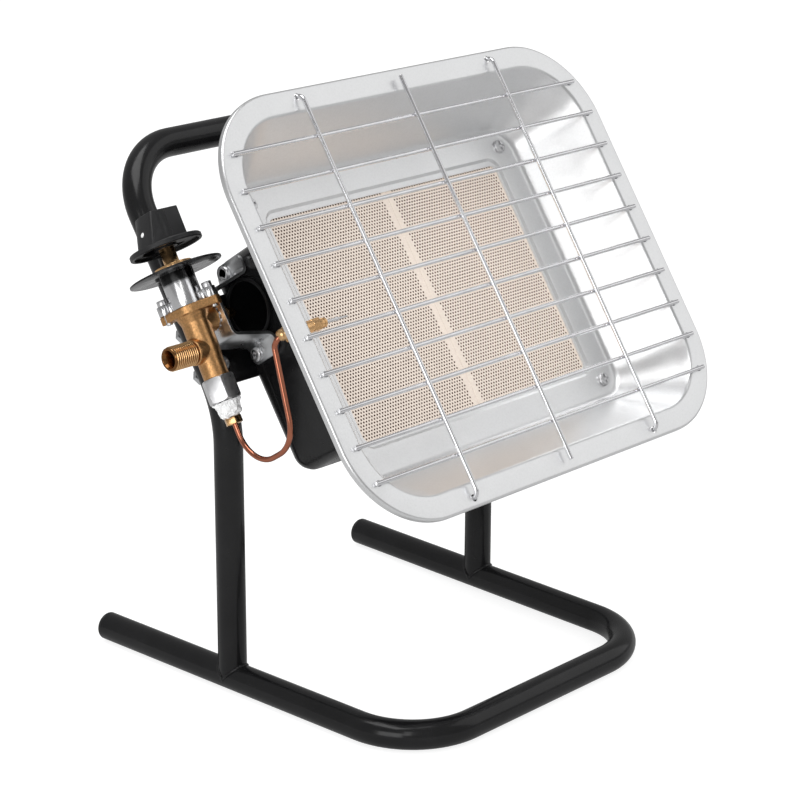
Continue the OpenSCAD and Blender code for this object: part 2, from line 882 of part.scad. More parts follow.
module valve_bracket() {
    // The sheet's outside: up the web, along the arms and back down the tabs
    outside = [[web_x, web_back], [web_x, arm_z], [tab_x, arm_z], [tab_x, tab_back]];
    shoulder_x = web_x + bracket_t + bracket_fold_r;
    notch_x = tab_x - bracket_t - bracket_fold_r;
    color(zinc)
        head_frame()
            difference() {
                intersection() {
                    rotate([-90, 0, 0])
                        mirror([0, 1, 0])
                            translate([0, 0, low_tab_y[0]])
                                linear_extrude(high_tab_y[1] - low_tab_y[0])
                                    polygon(sheet_section(outside, [0, bracket_fold_r + bracket_t,
                                        bracket_fold_r + bracket_t, 0], -bracket_t));
                    translate([0, 0, tab_back - cut])
                        linear_extrude(arm_z - tab_back + 2 * cut)
                            union() {
                                polygon([[web_x - cut, web_y[0]], [shoulder_x, web_y[0]],
                                    [notch_x, low_tab_y[0]], [tab_x + cut, low_tab_y[0]],
                                    [tab_x + cut, high_tab_y[1]], [notch_x, high_tab_y[1]],
                                    [shoulder_x, web_y[1]], [web_x - cut, web_y[1]]]);
                            }
                }
                // Open between the two tabs, round the mixer tube's mouth
                translate([tab_x + cut, mixer_rise, tab_back - cut])
                    linear_extrude(arm_z - tab_back + 2 * cut)
                        polygon([[0, low_tab_y[1] - mixer_rise], [0, high_tab_y[0] - mixer_rise],
                            [-bracket_t - bracket_fold_r - cut, high_tab_y[0] - mixer_rise],
                            [-(tab_x - web_x) / 2, (web_y[1] - web_y[0]) / 4],
                            [-(tab_x - web_x) / 2, -(web_y[1] - web_y[0]) / 4],
                            [-bracket_t - bracket_fold_r - cut, low_tab_y[1] - mixer_rise]]);
                for (yz = [low_screw, high_screw])
                    left_wall(yz, tab_x + cut)
                        cylinder(r = tab_screw_r + screw_gap, h = bracket_t + 2 * cut);
                left_wall([mixer_rise, -mixer_back], web_x + bracket_t + cut)
                    cylinder(r = injector_r + screw_gap, h = bracket_t + 2 * cut);
                // Relief round the mixer tube's lip
                left_wall([mixer_rise, -mixer_back], tab_x + cut)
                    cylinder(r = mixer_lip_r + lay_gap, h = bracket_t + 2 * cut);
                // Relief beside the valve's flange
                translate(valve_point(0))
                    rotate([stem_tip - 90, 0, 0])
                        translate([0, 0, flange_low - flange_relief])
                            rotate(flange_turn)
                                linear_extrude(flange_top - flange_low + 2 * flange_relief)
                                    eared_plate(flange_mid_r + flange_relief,
                                        flange_ear_r + flange_relief, ear_at);
            }
}

module bracket_screws() {
    color(bright)
        head_frame()
            for (yz = [low_screw, high_screw])
                left_wall(yz, tab_x - bracket_t) {
                    pan_head(tab_head_r, tab_head_h);
                    translate([0, 0, -bracket_t - tab_screw_in])
                        cylinder(r = tab_screw_r, h = bracket_t + tab_screw_in);
                }
}

module toothed_washer() {
    color(zinc)
        head_frame()
            left_wall([mixer_rise, -mixer_back], web_x)
                linear_extrude(washer_t)
                    difference() {
                        union() {
                            circle(washer_r - washer_tooth_h);
                            for (i = [0:washer_teeth - 1])
                                rotate(i * 360 / washer_teeth)
                                    translate([0, -washer_tooth_w / 2])
                                        square([washer_r, washer_tooth_w]);
                        }
                        circle(injector_r + screw_gap);
                    }
}

module injector() {
    color(brass)
        head_frame()
            left_wall([mixer_rise, -mixer_back], injector_tip)
                difference() {
                    hex_low = injector_tip - (web_x + bracket_t) - injector_hex_l;
                    union() {
                        rotate_extrude()
                            polygon([[0, 0], [injector_tip_r, 0], [injector_nose_r, injector_nose_r],
                                [injector_nose_r, hex_low], [0, hex_low]]);
                        translate([0, 0, hex_low])
                            hex_bar(injector_hex, injector_hex_l);
                        translate([0, 0, hex_low + injector_hex_l])
                            cylinder(r = injector_r, h = bracket_t + washer_t + injector_in);
                    }
                    translate([0, 0, -cut])
                        cylinder(r = injector_bore_r, h = injector_tip - boss_end + injector_in + 2 * cut);
                }
}

module valve_body() {
    color(brass)
        valve_frame()
            difference() {
                union() {
                    rotate_extrude()
                        polygon([[0, body_low], [barrel_foot_r, body_low],
                            [barrel_foot_r, inlet_at - inlet_root_r], [barrel_r, inlet_at],
                            [barrel_r, 0], [barrel_neck_r, flange_low], [0, flange_low]]);
                    translate([0, 0, flange_low])
                        rotate(flange_turn)
                            linear_extrude(flange_top - flange_low)
                                eared_plate(flange_mid_r, flange_ear_r, ear_at);
                    rotate([0, 90, 0])
                        cylinder(r = boss_r, h = valve_offset + boss_end);
                    translate([0, 0, inlet_at])
                        rotate([0, -90, 0])
                            rotate_extrude()
                                polygon([[0, 0], [inlet_root_r, 0], [inlet_root_r, inlet_root_l],
                                    [inlet_d / 2, inlet_root_l],
                                    [inlet_d / 2, inlet_reach() - inlet_chamfer],
                                    [inlet_d / 2 - inlet_chamfer, inlet_reach()],
                                    [0, inlet_reach()]]);
                }
                translate([0, 0, plug_low - lay_gap])
                    cylinder(r = plug_r + run_gap, h = flange_top - plug_low + lay_gap + cut);
                rotate([0, 90, 0])
                    cylinder(r = outlet_bore_r, h = valve_offset + boss_end - injector_in);
                rotate([0, 90, 0])
                    translate([0, 0, valve_offset + boss_end - injector_in])
                        cylinder(r = injector_r + screw_gap, h = injector_in + cut);
                translate([-inlet_reach(), 0, inlet_at])
                    rotate([0, 90, 0])
                        rotate_extrude()
                            polygon([[0, -cut], [inlet_cone_r + cut, -cut], [inlet_cone_r, 0],
                                [inlet_bore_r, inlet_cone_l], [inlet_bore_r, inlet_bore_l],
                                [0, inlet_bore_l]]);
                for (s = [-1, 1])
                    rotate(flange_turn)
                        translate([s * ear_at, 0, flange_low - cut])
                            cylinder(r = ear_screw_r + screw_gap, h = flange_top - flange_low + 2 * cut);
            }
}

module valve_plug() {
    color(brass)
        valve_frame()
            difference() {
                translate([0, 0, plug_low])
                    cylinder(r = plug_r, h = flange_top - plug_low);
                translate([0, 0, stem_low - push_travel - cut])
                    linear_extrude(flange_top - stem_low + push_travel + 2 * cut)
                        tang(run_gap);
                rotate([0, 90, 0])
                    translate([0, 0, -plug_r - cut])
                        cylinder(r = outlet_bore_r, h = 2 * (plug_r + cut));
            }
}

// Flat-sided section by which the stem turns the plug
module tang(gap) {
    intersection() {
        circle(stem_r + gap);
        square([2 * (stem_r + gap), tang_w + 2 * gap], center = true);
    }
}

module valve_bonnet() {
    color(bright)
        valve_frame()
            rotate(flange_turn)
                difference() {
                    union() {
                        translate([0, 0, flange_top])
                            linear_extrude(ear_top - flange_top) {
                                circle(can_r);
                                square([2 * ear_at, ear_web], center = true);
                                for (s = [-1, 1])
                                    translate([s * ear_at, 0]) circle(ear_r);
                            }
                        translate([0, 0, flange_top])
                            cylinder(r = can_r, h = can_top - flange_top);
                    }
                    translate([0, 0, flange_top - cut])
                        rotate_extrude()
                            polygon([[0, 0], [can_r - can_wall, 0],
                                [can_r - can_wall, collar_neck_low - flange_top + cut],
                                [collar_neck_r + screw_gap, collar_neck_low - flange_top + cut],
                                [collar_neck_r + screw_gap, can_top - flange_top + 2 * cut],
                                [0, can_top - flange_top + 2 * cut]]);
                    for (s = [-1, 1])
                        translate([s * ear_at, 0, flange_top - cut])
                            cylinder(r = ear_screw_r + screw_gap, h = ear_top - flange_top + 2 * cut);
                }
}

module bonnet_screws() {
    color(bright)
        valve_frame()
            rotate(flange_turn)
                for (s = [-1, 1])
                    translate([s * ear_at, 0, 0]) {
                        translate([0, 0, ear_top])
                            slotted_head(ear_head_r, ear_head_h, ear_slot_w, ear_slot_h);
                        translate([0, 0, flange_low - cut])
                            cylinder(r = ear_screw_r, h = ear_top - flange_low + cut);
                    }
}

module stem_collar() {
    color(gold)
        valve_frame()
            difference() {
                union() {
                    translate([0, 0, collar_neck_low])
                        cylinder(r = collar_neck_r, h = collar_top - collar_neck_low);
                    translate([0, 0, can_top + shield_t])
                        cylinder(r = collar_r, h = collar_top - can_top - shield_t);
                }
                translate([0, 0, collar_neck_low - cut])
                    cylinder(r = stem_r + run_gap, h = collar_top - collar_neck_low + 2 * cut);
            }
}

module heat_shield_disc() {
    // Section of the bent side: level, through the fold and down the flap
    flap_x = flap_at + flap_fold_r + shield_t;
    level = can_top + shield_t;
    section = sheet_section([[0, level], [flap_x, level], [flap_x, flap_low]],
        [0, flap_fold_r + shield_t, 0], -shield_t);
    color(black)
        valve_frame()
            rotate(flap_turn)
                difference() {
                    union() {
                        translate([0, 0, can_top])
                            linear_extrude(shield_t)
                                intersection() {
                                    circle(shield_r);
                                    translate([-shield_r, -shield_r])
                                        square([shield_r + flap_at, 2 * shield_r]);
                                }
                        intersection() {
                            translate([0, flap_w / 2, 0])
                                rotate([90, 0, 0])
                                    linear_extrude(flap_w)
                                        polygon(section);
                            translate([flap_at - seam, 0, (level + flap_low) / 2])
                                rotate([0, 90, 0])
                                    linear_extrude(shield_r)
                                        rounded_rect([(level - flap_low) / 2, flap_w / 2], flap_edge_r);
                        }
                        translate([0, -flap_w / 2 + flap_edge_r, can_top])
                            cube([flap_at + seam, flap_w - 2 * flap_edge_r, shield_t]);
                    }
                    translate([0, 0, can_top - cut])
                        cylinder(r = collar_neck_r + screw_gap, h = shield_t + 2 * cut);
                }
}

module valve_stem() {
    color(gold)
        valve_frame() {
            translate([0, 0, stem_low])
                linear_extrude(tang_top - stem_low)
                    tang(0);
            translate([0, 0, tang_top])
                cylinder(r = stem_r, h = stem_flat_low - tang_top);
            translate([0, 0, shoulder_low])
                cylinder(r = shoulder_r, h = shoulder_top - shoulder_low);
            translate([0, 0, stem_flat_low])
                linear_extrude(stem_top - stem_flat_low)
                    flatted(0);
        }
}

// Round section with one flat, which seats the knob on the stem
module flatted(gap) {
    intersection() {
        circle(stem_r + gap);
        translate([-stem_r - cut, -stem_r - cut])
            square([stem_r + cut + stem_flat + gap, 2 * (stem_r + cut)]);
    }
}

module stem_spring() {
    low = flange_top + spring_gap + spring_wire / 2;
    high = shoulder_low - spring_gap - spring_wire / 2;
    pitch = (high - low) / spring_turns;
    steps = spring_turns * spring_rings;
    // The wire's section is turned up by the helix's own slope
    slope = atan2(pitch, 2 * PI * spring_r);
    function ring_point(i, k) =
        let (a = 360 * i / spring_rings, w = 360 * k / spring_sides,
            out = spring_r + spring_wire / 2 * cos(w), up = spring_wire / 2 * sin(w))
        [out * cos(a) + up * sin(slope) * sin(a), out * sin(a) - up * sin(slope) * cos(a),
            low + pitch * i / spring_rings + up * cos(slope)];
    points = [for (i = [0:steps], k = [0:spring_sides - 1]) ring_point(i, k)];
    sides = [for (i = [0:steps - 1], k = [0:spring_sides - 1])
        let (a = i * spring_sides + k, b = i * spring_sides + (k + 1) % spring_sides)
        each [[a, a + spring_sides, b], [b, a + spring_sides, b + spring_sides]]];
    first = [for (k = [0:spring_sides - 1]) k];
    last = [for (k = [spring_sides - 1:-1:0]) steps * spring_sides + k];
    color(bright)
        valve_frame()
            polyhedron(points, concat([first, last], sides));
}

// Wedge-shaped grip, drawn in by gap on every side for its hollow
module grip(gap, low, high) {
    foot = skirt_top;
    rise = knob_top - foot;
    intersection() {
        translate([0, shoulder_span(), 0])
            rotate([90, 0, 0])
                linear_extrude(2 * shoulder_span())
                    polygon([[grip_foot_x[0] + gap, foot], [grip_top_x[0] + gap, knob_top],
                        [grip_top_x[1] - gap, knob_top], [grip_foot_x[1] - gap, foot],
                        [grip_foot_x[1] - gap, foot - rise], [grip_foot_x[0] + gap, foot - rise]]);
        translate([-shoulder_span(), 0, 0])
            rotate([90, 0, 90])
                linear_extrude(2 * shoulder_span())
                    polygon([[-grip_foot_y + gap, foot], [-grip_top_y + gap, knob_top],
                        [grip_top_y - gap, knob_top], [grip_foot_y - gap, foot],
                        [grip_foot_y - gap, foot - rise], [-grip_foot_y + gap, foot - rise]]);
        translate([0, 0, low])
            linear_extrude(high - low)
                grip_plan(gap);
    }
}

// A span wider than the knob
function shoulder_span() = 2 * skirt_r;

// The grip seen from above: a round nose and a square tail
module grip_plan(gap) {
    nose_r = grip_nose_r;
    nose_x = grip_foot_x[0] + gap + nose_r;
    tail_x = grip_foot_x[1] - gap;
    half = grip_foot_y - gap;
    for (s = [-1, 1])
        translate([nose_x, s * (half - nose_r)]) circle(nose_r);
    translate([grip_foot_x[0] + gap, -(half - nose_r)])
        square([tail_x - grip_foot_x[0] - gap, 2 * (half - nose_r)]);
    translate([nose_x, -half])
        square([tail_x - nose_x - grip_tail_r, 2 * half]);
    for (s = [-1, 1])
        translate([tail_x - grip_tail_r, s * (half - grip_tail_r)]) circle(grip_tail_r);
    translate([tail_x - grip_tail_r - cut, -(half - grip_tail_r)])
        square([grip_tail_r + cut, 2 * (half - grip_tail_r)]);
}

module control_knob() {
    color(black)
        valve_frame()
            difference() {
                union() {
                    difference() {
                        union() {
                            translate([0, 0, skirt_low])
                                cylinder(r = skirt_r, h = skirt_top - skirt_low);
                            grip(0, skirt_low, knob_top);
                        }
                        translate([0, 0, skirt_low - cut])
                            cylinder(r = skirt_r - knob_wall, h = skirt_top - skirt_low - knob_wall + cut);
                        grip(knob_wall, skirt_low - cut, knob_top - knob_wall);
                    }
                    translate([0, 0, skirt_low])
                        cylinder(r = hub_r, h = knob_top - skirt_low - knob_wall / 2);
                }
                translate([0, 0, skirt_low - cut])
                    cylinder(r = stem_r + run_gap, h = stem_flat_low - skirt_low + cut);
                translate([0, 0, stem_flat_low - cut / 2])
                    linear_extrude(stem_top - stem_flat_low + cut / 2 + run_gap)
                        flatted(run_gap);
                dot_solid();
            }
}

// Where the grip's nose lies at the height of the dot
function nose_face_x(s) = grip_foot_x[0]
    + (grip_top_x[0] - grip_foot_x[0]) * (s - skirt_top) / (knob_top - skirt_top);

module dot_solid() {
    translate([nose_face_x(dot_at[1]) + dot_depth, dot_at[0], dot_at[1]])
        rotate([0, -90, 0])
            cylinder(r = dot_r, h = dot_depth + dot_proud);
}

module knob_indicator() {
    color("white")
        valve_frame()
            dot_solid();
}

module magnet_housing() {
    color(bright)
        valve_frame()
            intersection() {
                translate([0, 0, magnet_low])
                    hex_bar(magnet_hex, body_low - magnet_low);
                // Chamfered corners at both ends of the hex
                corner_r = magnet_hex / 2 / cos(30);
                rotate_extrude()
                    polygon([[0, magnet_low], [corner_r - magnet_chamfer, magnet_low],
                        [corner_r, magnet_low + magnet_chamfer],
                        [corner_r, body_low - magnet_chamfer],
                        [corner_r - magnet_chamfer, body_low], [0, body_low]]);
            }
}

module sealing_wrap() {
    step = (magnet_low - wrap_low) / (len(wrap_r) - 1);
    color(fibre)
        valve_frame()
            rotate_extrude()
                polygon(concat([[0, magnet_low]],
                    [for (i = [0:len(wrap_r) - 1]) [wrap_r[i], magnet_low - i * step]],
                    [[0, wrap_low]]));
}

module thermocouple_nut() {
    color(gold)
        valve_frame()
            difference() {
                translate([0, 0, nut_low])
                    hex_bar(nut_hex, wrap_low - nut_low);
                translate([0, 0, nut_low - cut])
                    cylinder(r = lead_r, h = wrap_low - nut_low + 2 * cut);
            }
}

module thermocouple_lead() {
    color(copper)
        head_frame()
            run(lead_line, lead_bends, 2 * lead_r);
}

// Places children with z along the fitting, from a point on its axis
module fitting_at(x) {
    translate([x, probe_y, probe_z]) rotate([0, 90, 0]) children();
}

module thermocouple_fitting() {
    color(gold)
        head_frame()
            difference() {
                union() {
                    fitting_at(fitting_out)
                        cylinder(r = fitting_nut_r, h = fitting_nut_end - fitting_out);
                    fitting_at(fitting_nut_end)
                        cylinder(r = fitting_thread_r, h = fitting_neck_end - fitting_nut_end);
                    fitting_at(probe_wall + fitting_hex / 2)
                        hex_bar(fitting_hex, fitting_hex_end - probe_wall - fitting_hex / 2);
                    fitting_at(fitting_hex_end)
                        cylinder(r = fitting_neck_r, h = fitting_neck_end - fitting_hex_end);
                }
                fitting_at(fitting_out - cut)
                    cylinder(r = lead_r, h = lead_line[5][0] - fitting_out + cut);
                fitting_at(fitting_neck_end - probe_seat)
                    cylinder(r = probe_r, h = probe_seat + cut);
            }
}

module thermocouple_probe() {
    color(bright)
        head_frame() {
            fitting_at(fitting_neck_end - probe_seat)
                cylinder(r = probe_r, h = probe_step - fitting_neck_end + probe_seat);
            fitting_at(probe_step)
                cylinder(r = probe_tip_r, h = probe_tip - probe_step);
        }
}

base_tube();
leg_end_caps();
post_hoop();
cross_plate();
cross_plate_bolts();
reflector();
reflector_screws();
wire_guard();
plaque_left();
plaque_right();
plaque_gasket();
baffle_plate();
burner_housing();
mixer_tube();
valve_bracket();
bracket_screws();
toothed_washer();
injector();
valve_body();
valve_plug();
valve_bonnet();
bonnet_screws();
stem_collar();
heat_shield_disc();
valve_stem();
stem_spring();
control_knob();
knob_indicator();
magnet_housing();
sealing_wrap();
thermocouple_nut();
thermocouple_lead();
thermocouple_fitting();
thermocouple_probe();
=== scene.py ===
"""Portable gas heater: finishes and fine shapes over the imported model.

The file is laid out as an add-on. Each group of pieces has its own operator, the
sizes and colours that a user may change are in the property groups, and main()
makes the whole heater in order.
"""

import json
import math

import bmesh
import bpy
from mathutils import Matrix, Vector

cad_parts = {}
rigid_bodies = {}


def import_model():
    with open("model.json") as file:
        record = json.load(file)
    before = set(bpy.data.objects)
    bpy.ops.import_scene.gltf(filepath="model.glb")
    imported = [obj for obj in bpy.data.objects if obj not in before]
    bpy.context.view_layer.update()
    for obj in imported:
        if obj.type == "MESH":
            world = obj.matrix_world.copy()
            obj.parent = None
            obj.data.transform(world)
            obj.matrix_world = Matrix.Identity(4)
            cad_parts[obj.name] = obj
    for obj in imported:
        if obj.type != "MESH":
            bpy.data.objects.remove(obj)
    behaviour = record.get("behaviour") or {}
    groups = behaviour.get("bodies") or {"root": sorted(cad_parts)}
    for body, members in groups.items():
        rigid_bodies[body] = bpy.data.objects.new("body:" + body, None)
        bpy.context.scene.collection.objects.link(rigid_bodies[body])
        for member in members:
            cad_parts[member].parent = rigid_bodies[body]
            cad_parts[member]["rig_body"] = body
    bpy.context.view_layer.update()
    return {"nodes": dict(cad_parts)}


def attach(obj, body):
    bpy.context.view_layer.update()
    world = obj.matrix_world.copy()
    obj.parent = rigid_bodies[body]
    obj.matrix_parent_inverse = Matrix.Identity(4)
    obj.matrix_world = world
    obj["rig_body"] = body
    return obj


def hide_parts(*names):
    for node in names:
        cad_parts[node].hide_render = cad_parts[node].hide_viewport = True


bl_info = {
    "name": "Portable gas heater",
    "version": (1, 0, 0),
    "blender": (4, 5, 0),
    "location": "3D View > Sidebar > Heater",
    "description": "Builds the visible pieces of a portable radiant gas heater",
    "category": "Object",
}

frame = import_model()

MM = 0.001
SHIFT = Vector((3.6, 128.948, 0)) * MM
LEAN = math.radians(33.7)
STEM_TIP = math.radians(3.04)
UP_FACE = Vector((0, math.sin(LEAN), math.cos(LEAN)))
OUT_FACE = Vector((0, -math.cos(LEAN), math.sin(LEAN)))
# The posts stand on the legs, which draw in by 6.5 mm along their 239 mm
KNEE = Vector((98 + 6.5 * 136 / 239, -103, 162.6)) * MM
HOOP_RISE = 152.3 * MM
# Middle of the dish's rim: 13.3 mm up the cross plate from the knees and 115.8 mm out from it
HEAD_MIDDLE = Vector((0, KNEE.y, KNEE.z)) + UP_FACE * 13.3 * MM + OUT_FACE * 115.8 * MM
STAND = Matrix.Translation(SHIFT)
HEAD = STAND @ Matrix.Translation(HEAD_MIDDLE) @ Matrix.Rotation(math.pi / 2 - LEAN, 4, "X")
VALVE = HEAD @ Matrix.Translation(Vector((-125, 30.5, -84.3)) * MM) \
    @ Matrix.Rotation(STEM_TIP - math.pi / 2, 4, "X")


# Settings

class StandSettings(bpy.types.PropertyGroup):
    """Sizes and colour of the tube stand"""
    tube_diameter: bpy.props.FloatProperty(
        name="Tube diameter", description="Outer diameter of the stand's tube",
        default=16 * MM, min=12 * MM, max=20 * MM, unit="LENGTH")
    paint: bpy.props.FloatVectorProperty(
        name="Paint", description="Colour of the stand's gloss paint",
        default=(0.0075, 0.0075, 0.008), min=0, max=1, subtype="COLOR")
    weld_width: bpy.props.FloatProperty(
        name="Weld width", description="Width of the weld at the foot of each post",
        default=3.2 * MM, min=1 * MM, max=6 * MM, unit="LENGTH")


class ReflectorSettings(bpy.types.PropertyGroup):
    """Colour and grain of the pressed reflector"""
    sheet: bpy.props.FloatVectorProperty(
        name="Sheet", description="Colour of the reflector's aluminised sheet",
        default=(0.84, 0.845, 0.85), min=0, max=1, subtype="COLOR")
    sheet_thickness: bpy.props.FloatProperty(
        name="Sheet thickness", description="Thickness of the pressed sheet",
        default=0.8 * MM, min=0.5 * MM, max=1.5 * MM, unit="LENGTH")
    roughness: bpy.props.FloatProperty(
        name="Roughness", description="How dull the sheet is",
        default=0.31, min=0.05, max=1, subtype="FACTOR")


class GuardSettings(bpy.types.PropertyGroup):
    """Sizes and colour of the wire guard"""
    wire_diameter: bpy.props.FloatProperty(
        name="Wire diameter", description="Diameter of the guard's wires",
        default=2.4 * MM, min=1.5 * MM, max=3.5 * MM, unit="LENGTH")
    plating: bpy.props.FloatVectorProperty(
        name="Plating", description="Colour of the wires' bright zinc",
        default=(0.86, 0.86, 0.88), min=0, max=1, subtype="COLOR")


class BurnerSettings(bpy.types.PropertyGroup):
    """Holes and colour of the ceramic plaques"""
    hole_pitch: bpy.props.FloatProperty(
        name="Hole pitch", description="Distance between neighbouring holes",
        default=2.0 * MM, min=1.5 * MM, max=4 * MM, unit="LENGTH")
    hole_radius: bpy.props.FloatProperty(
        name="Hole radius", description="Radius of a plaque's holes",
        default=0.56 * MM, min=0.3 * MM, max=0.9 * MM, unit="LENGTH")
    hole_depth: bpy.props.FloatProperty(
        name="Hole depth", description="Modelled depth of a plaque's holes",
        default=1.6 * MM, min=0.5 * MM, max=6 * MM, unit="LENGTH")
    clay: bpy.props.FloatVectorProperty(
        name="Clay", description="Colour of the fired ceramic",
        default=(0.98, 0.85, 0.75), min=0, max=1, subtype="COLOR")
    housing_paint: bpy.props.FloatVectorProperty(
        name="Housing paint", description="Colour of the burner housing's paint",
        default=(0.006, 0.006, 0.0065), min=0, max=1, subtype="COLOR")


class ValveSettings(bpy.types.PropertyGroup):
    """Thread and colours of the gas valve"""
    thread_pitch: bpy.props.FloatProperty(
        name="Thread pitch", description="Pitch of the inlet's thread",
        default=1.337 * MM, min=0.8 * MM, max=2.5 * MM, unit="LENGTH")
    cast_brass: bpy.props.FloatVectorProperty(
        name="Cast brass", description="Colour of the valve's cast body",
        default=(0.6, 0.33, 0.14), min=0, max=1, subtype="COLOR")
    turned_brass: bpy.props.FloatVectorProperty(
        name="Turned brass", description="Colour of the machined brass",
        default=(0.84, 0.52, 0.25), min=0, max=1, subtype="COLOR")
    copper: bpy.props.FloatVectorProperty(
        name="Copper", description="Colour of the thermocouple's lead",
        default=(0.52, 0.19, 0.115), min=0, max=1, subtype="COLOR")
    knob: bpy.props.FloatVectorProperty(
        name="Knob", description="Colour of the knob's plastic",
        default=(0.012, 0.012, 0.013), min=0, max=1, subtype="COLOR")


class StageSettings(bpy.types.PropertyGroup):
    """Floor, lights and camera"""
    floor: bpy.props.FloatVectorProperty(
        name="Floor", description="Colour of the floor",
        default=(0.9, 0.9, 0.9), min=0, max=1, subtype="COLOR")
    key_power: bpy.props.FloatProperty(
        name="Key light", description="Power of the soft light overhead",
        default=9.0, min=0, max=100, unit="POWER")
    fill_power: bpy.props.FloatProperty(
        name="Fill light", description="Power of the soft light beside the camera",
        default=4.0, min=0, max=100, unit="POWER")
    lens: bpy.props.FloatProperty(
        name="Lens", description="Focal length of the camera",
        default=111.35, min=20, max=300, unit="CAMERA")


# Modelling

def body_of(node):
    """The body that carries a CAD node."""
    return frame["nodes"][node]["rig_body"]


def select_only(piece):
    """Selects one object and makes it active."""
    bpy.ops.object.select_all(action="DESELECT")
    bpy.context.view_layer.objects.active = piece
    piece.select_set(True)


def edit(piece, mode="FACE"):
    """Opens a piece in edit mode with nothing selected."""
    select_only(piece)
    bpy.ops.object.mode_set(mode="EDIT")
    bpy.ops.mesh.select_mode(type=mode)
    bpy.ops.mesh.select_all(action="DESELECT")


def leave_edit():
    """Goes back to object mode."""
    bpy.ops.object.mode_set(mode="OBJECT")


def take_all(kind=None):
    """Selects all of the open mesh, as faces, edges or corners where a kind is named."""
    if kind:
        bpy.ops.mesh.select_mode(type=kind)
    bpy.ops.mesh.select_all(action="SELECT")


def take_none(kind=None):
    """Selects nothing of the open mesh."""
    if kind:
        bpy.ops.mesh.select_mode(type=kind)
    bpy.ops.mesh.select_all(action="DESELECT")


def close_outward(merge=None):
    """Merges the open mesh's doubles, turns its faces outward and leaves edit mode."""
    take_all()
    if merge:
        bpy.ops.mesh.remove_doubles(threshold=merge)
    bpy.ops.mesh.normals_make_consistent(inside=False)
    leave_edit()


def turn_over(piece):
    """Turns all faces of a piece the other way."""
    edit(piece)
    take_all()
    bpy.ops.mesh.flip_normals()
    leave_edit()


def extrude(way):
    """Extrudes the selection of the open mesh by a vector."""
    bpy.ops.mesh.extrude_region_move(TRANSFORM_OT_translate={"value": way})


def fix_place():
    """Applies the selected piece's place, turn and scale to its mesh."""
    bpy.ops.object.transform_apply(location=True, rotation=True, scale=True)


def pick(piece, faces=None, edges=None, corners=None):
    """Adds the faces, edges or corners for which the test holds to the selection."""
    mesh = bmesh.from_edit_mesh(piece.data)
    for parts, test in ((mesh.verts, corners), (mesh.faces, faces), (mesh.edges, edges)):
        for part in parts:
            if test and test(part):
                part.select_set(True)
    mesh.select_flush_mode()
    bmesh.update_edit_mesh(piece.data)


def primitive(kind, name, **settings):
    """Adds a primitive with everything else deselected, and names it."""
    bpy.ops.object.select_all(action="DESELECT")
    getattr(bpy.ops.mesh, f"primitive_{kind}_add")(**settings)
    piece = bpy.context.object
    piece.name = name
    piece.data.name = name
    return piece


def apply_modifier(piece, kind, **settings):
    """Adds a modifier to a piece and applies it."""
    select_only(piece)
    modifier = piece.modifiers.new(kind.lower(), kind)
    for key, value in settings.items():
        setattr(modifier, key, value)
    bpy.ops.object.modifier_apply(modifier=modifier.name)


def bevel_edges(piece, width, segments=2, limit=50):
    """Rounds a piece's edges that are sharper than an angle."""
    apply_modifier(piece, "BEVEL", width=width, segments=segments, limit_method="ANGLE",
                   angle_limit=math.radians(limit))


def repeat(piece, count, step):
    """Lays copies of a piece in a row, joined where they meet."""
    apply_modifier(piece, "ARRAY", count=count, use_relative_offset=False,
                   use_constant_offset=True, constant_offset_displace=step,
                   use_merge_vertices=True, merge_threshold=1e-6)


def carve(piece, tool, kind="DIFFERENCE"):
    """Cuts one solid out of a piece, or melts it in, and throws the tool away."""
    apply_modifier(piece, "BOOLEAN", object=tool, operation=kind, solver="EXACT")
    bpy.data.objects.remove(tool)


def join(name, pieces):
    """Joins pieces into one object."""
    bpy.ops.object.select_all(action="DESELECT")
    for piece in pieces:
        piece.select_set(True)
    bpy.context.view_layer.objects.active = pieces[0]
    if len(pieces) > 1:
        bpy.ops.object.join()
    pieces[0].name = name
    pieces[0].data.name = name
    return pieces[0]


def copy_of(piece, name):
    """A copy of a piece with its own mesh."""
    twin = piece.copy()
    twin.data = piece.data.copy()
    twin.name = name
    bpy.context.scene.collection.objects.link(twin)
    return twin


def smooth(piece, angle=35):
    """Shades a piece smooth up to an angle between its faces."""
    select_only(piece)
    bpy.ops.object.shade_smooth_by_angle(angle=math.radians(angle))


def put_in_place(piece, matrix):
    """Moves a piece from the axes that it was modelled in to its place."""
    select_only(piece)
    piece.matrix_world = matrix @ piece.matrix_world
    fix_place()


def settle(piece, material, body, *stands_for):
    """Gives a piece its material and its body, and hides the solids that it stands for."""
    piece.data.materials.clear()
    piece.data.materials.append(material)
    for face in piece.data.polygons:
        face.material_index = 0
    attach(piece, body)
    if stands_for:
        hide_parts(*stands_for)
    return piece


def paint_node(node, material):
    """Gives a CAD node its finish."""
    solid = frame["nodes"][node]
    solid.data.materials.clear()
    solid.data.materials.append(material)


def solid_copy(node, name):
    """A copy of a CAD solid with its doubles merged, left open in edit mode."""
    piece = bpy.data.objects.new(name, frame["nodes"][node].data.copy())
    bpy.context.scene.collection.objects.link(piece)
    edit(piece)
    take_all()
    bpy.ops.mesh.customdata_custom_splitnormals_clear()
    bpy.ops.mesh.remove_doubles(threshold=2e-6)
    return piece


def softened(node, material, width):
    """A copy of a CAD solid with its sharp edges rounded over, in the solid's place."""
    piece = solid_copy(node, node + "_edged")
    bpy.ops.mesh.dissolve_limited(angle_limit=math.radians(0.6))
    leave_edit()
    bevel_edges(piece, width, 2, 35)
    smooth(piece, 40)
    return settle(piece, material, body_of(node), node)


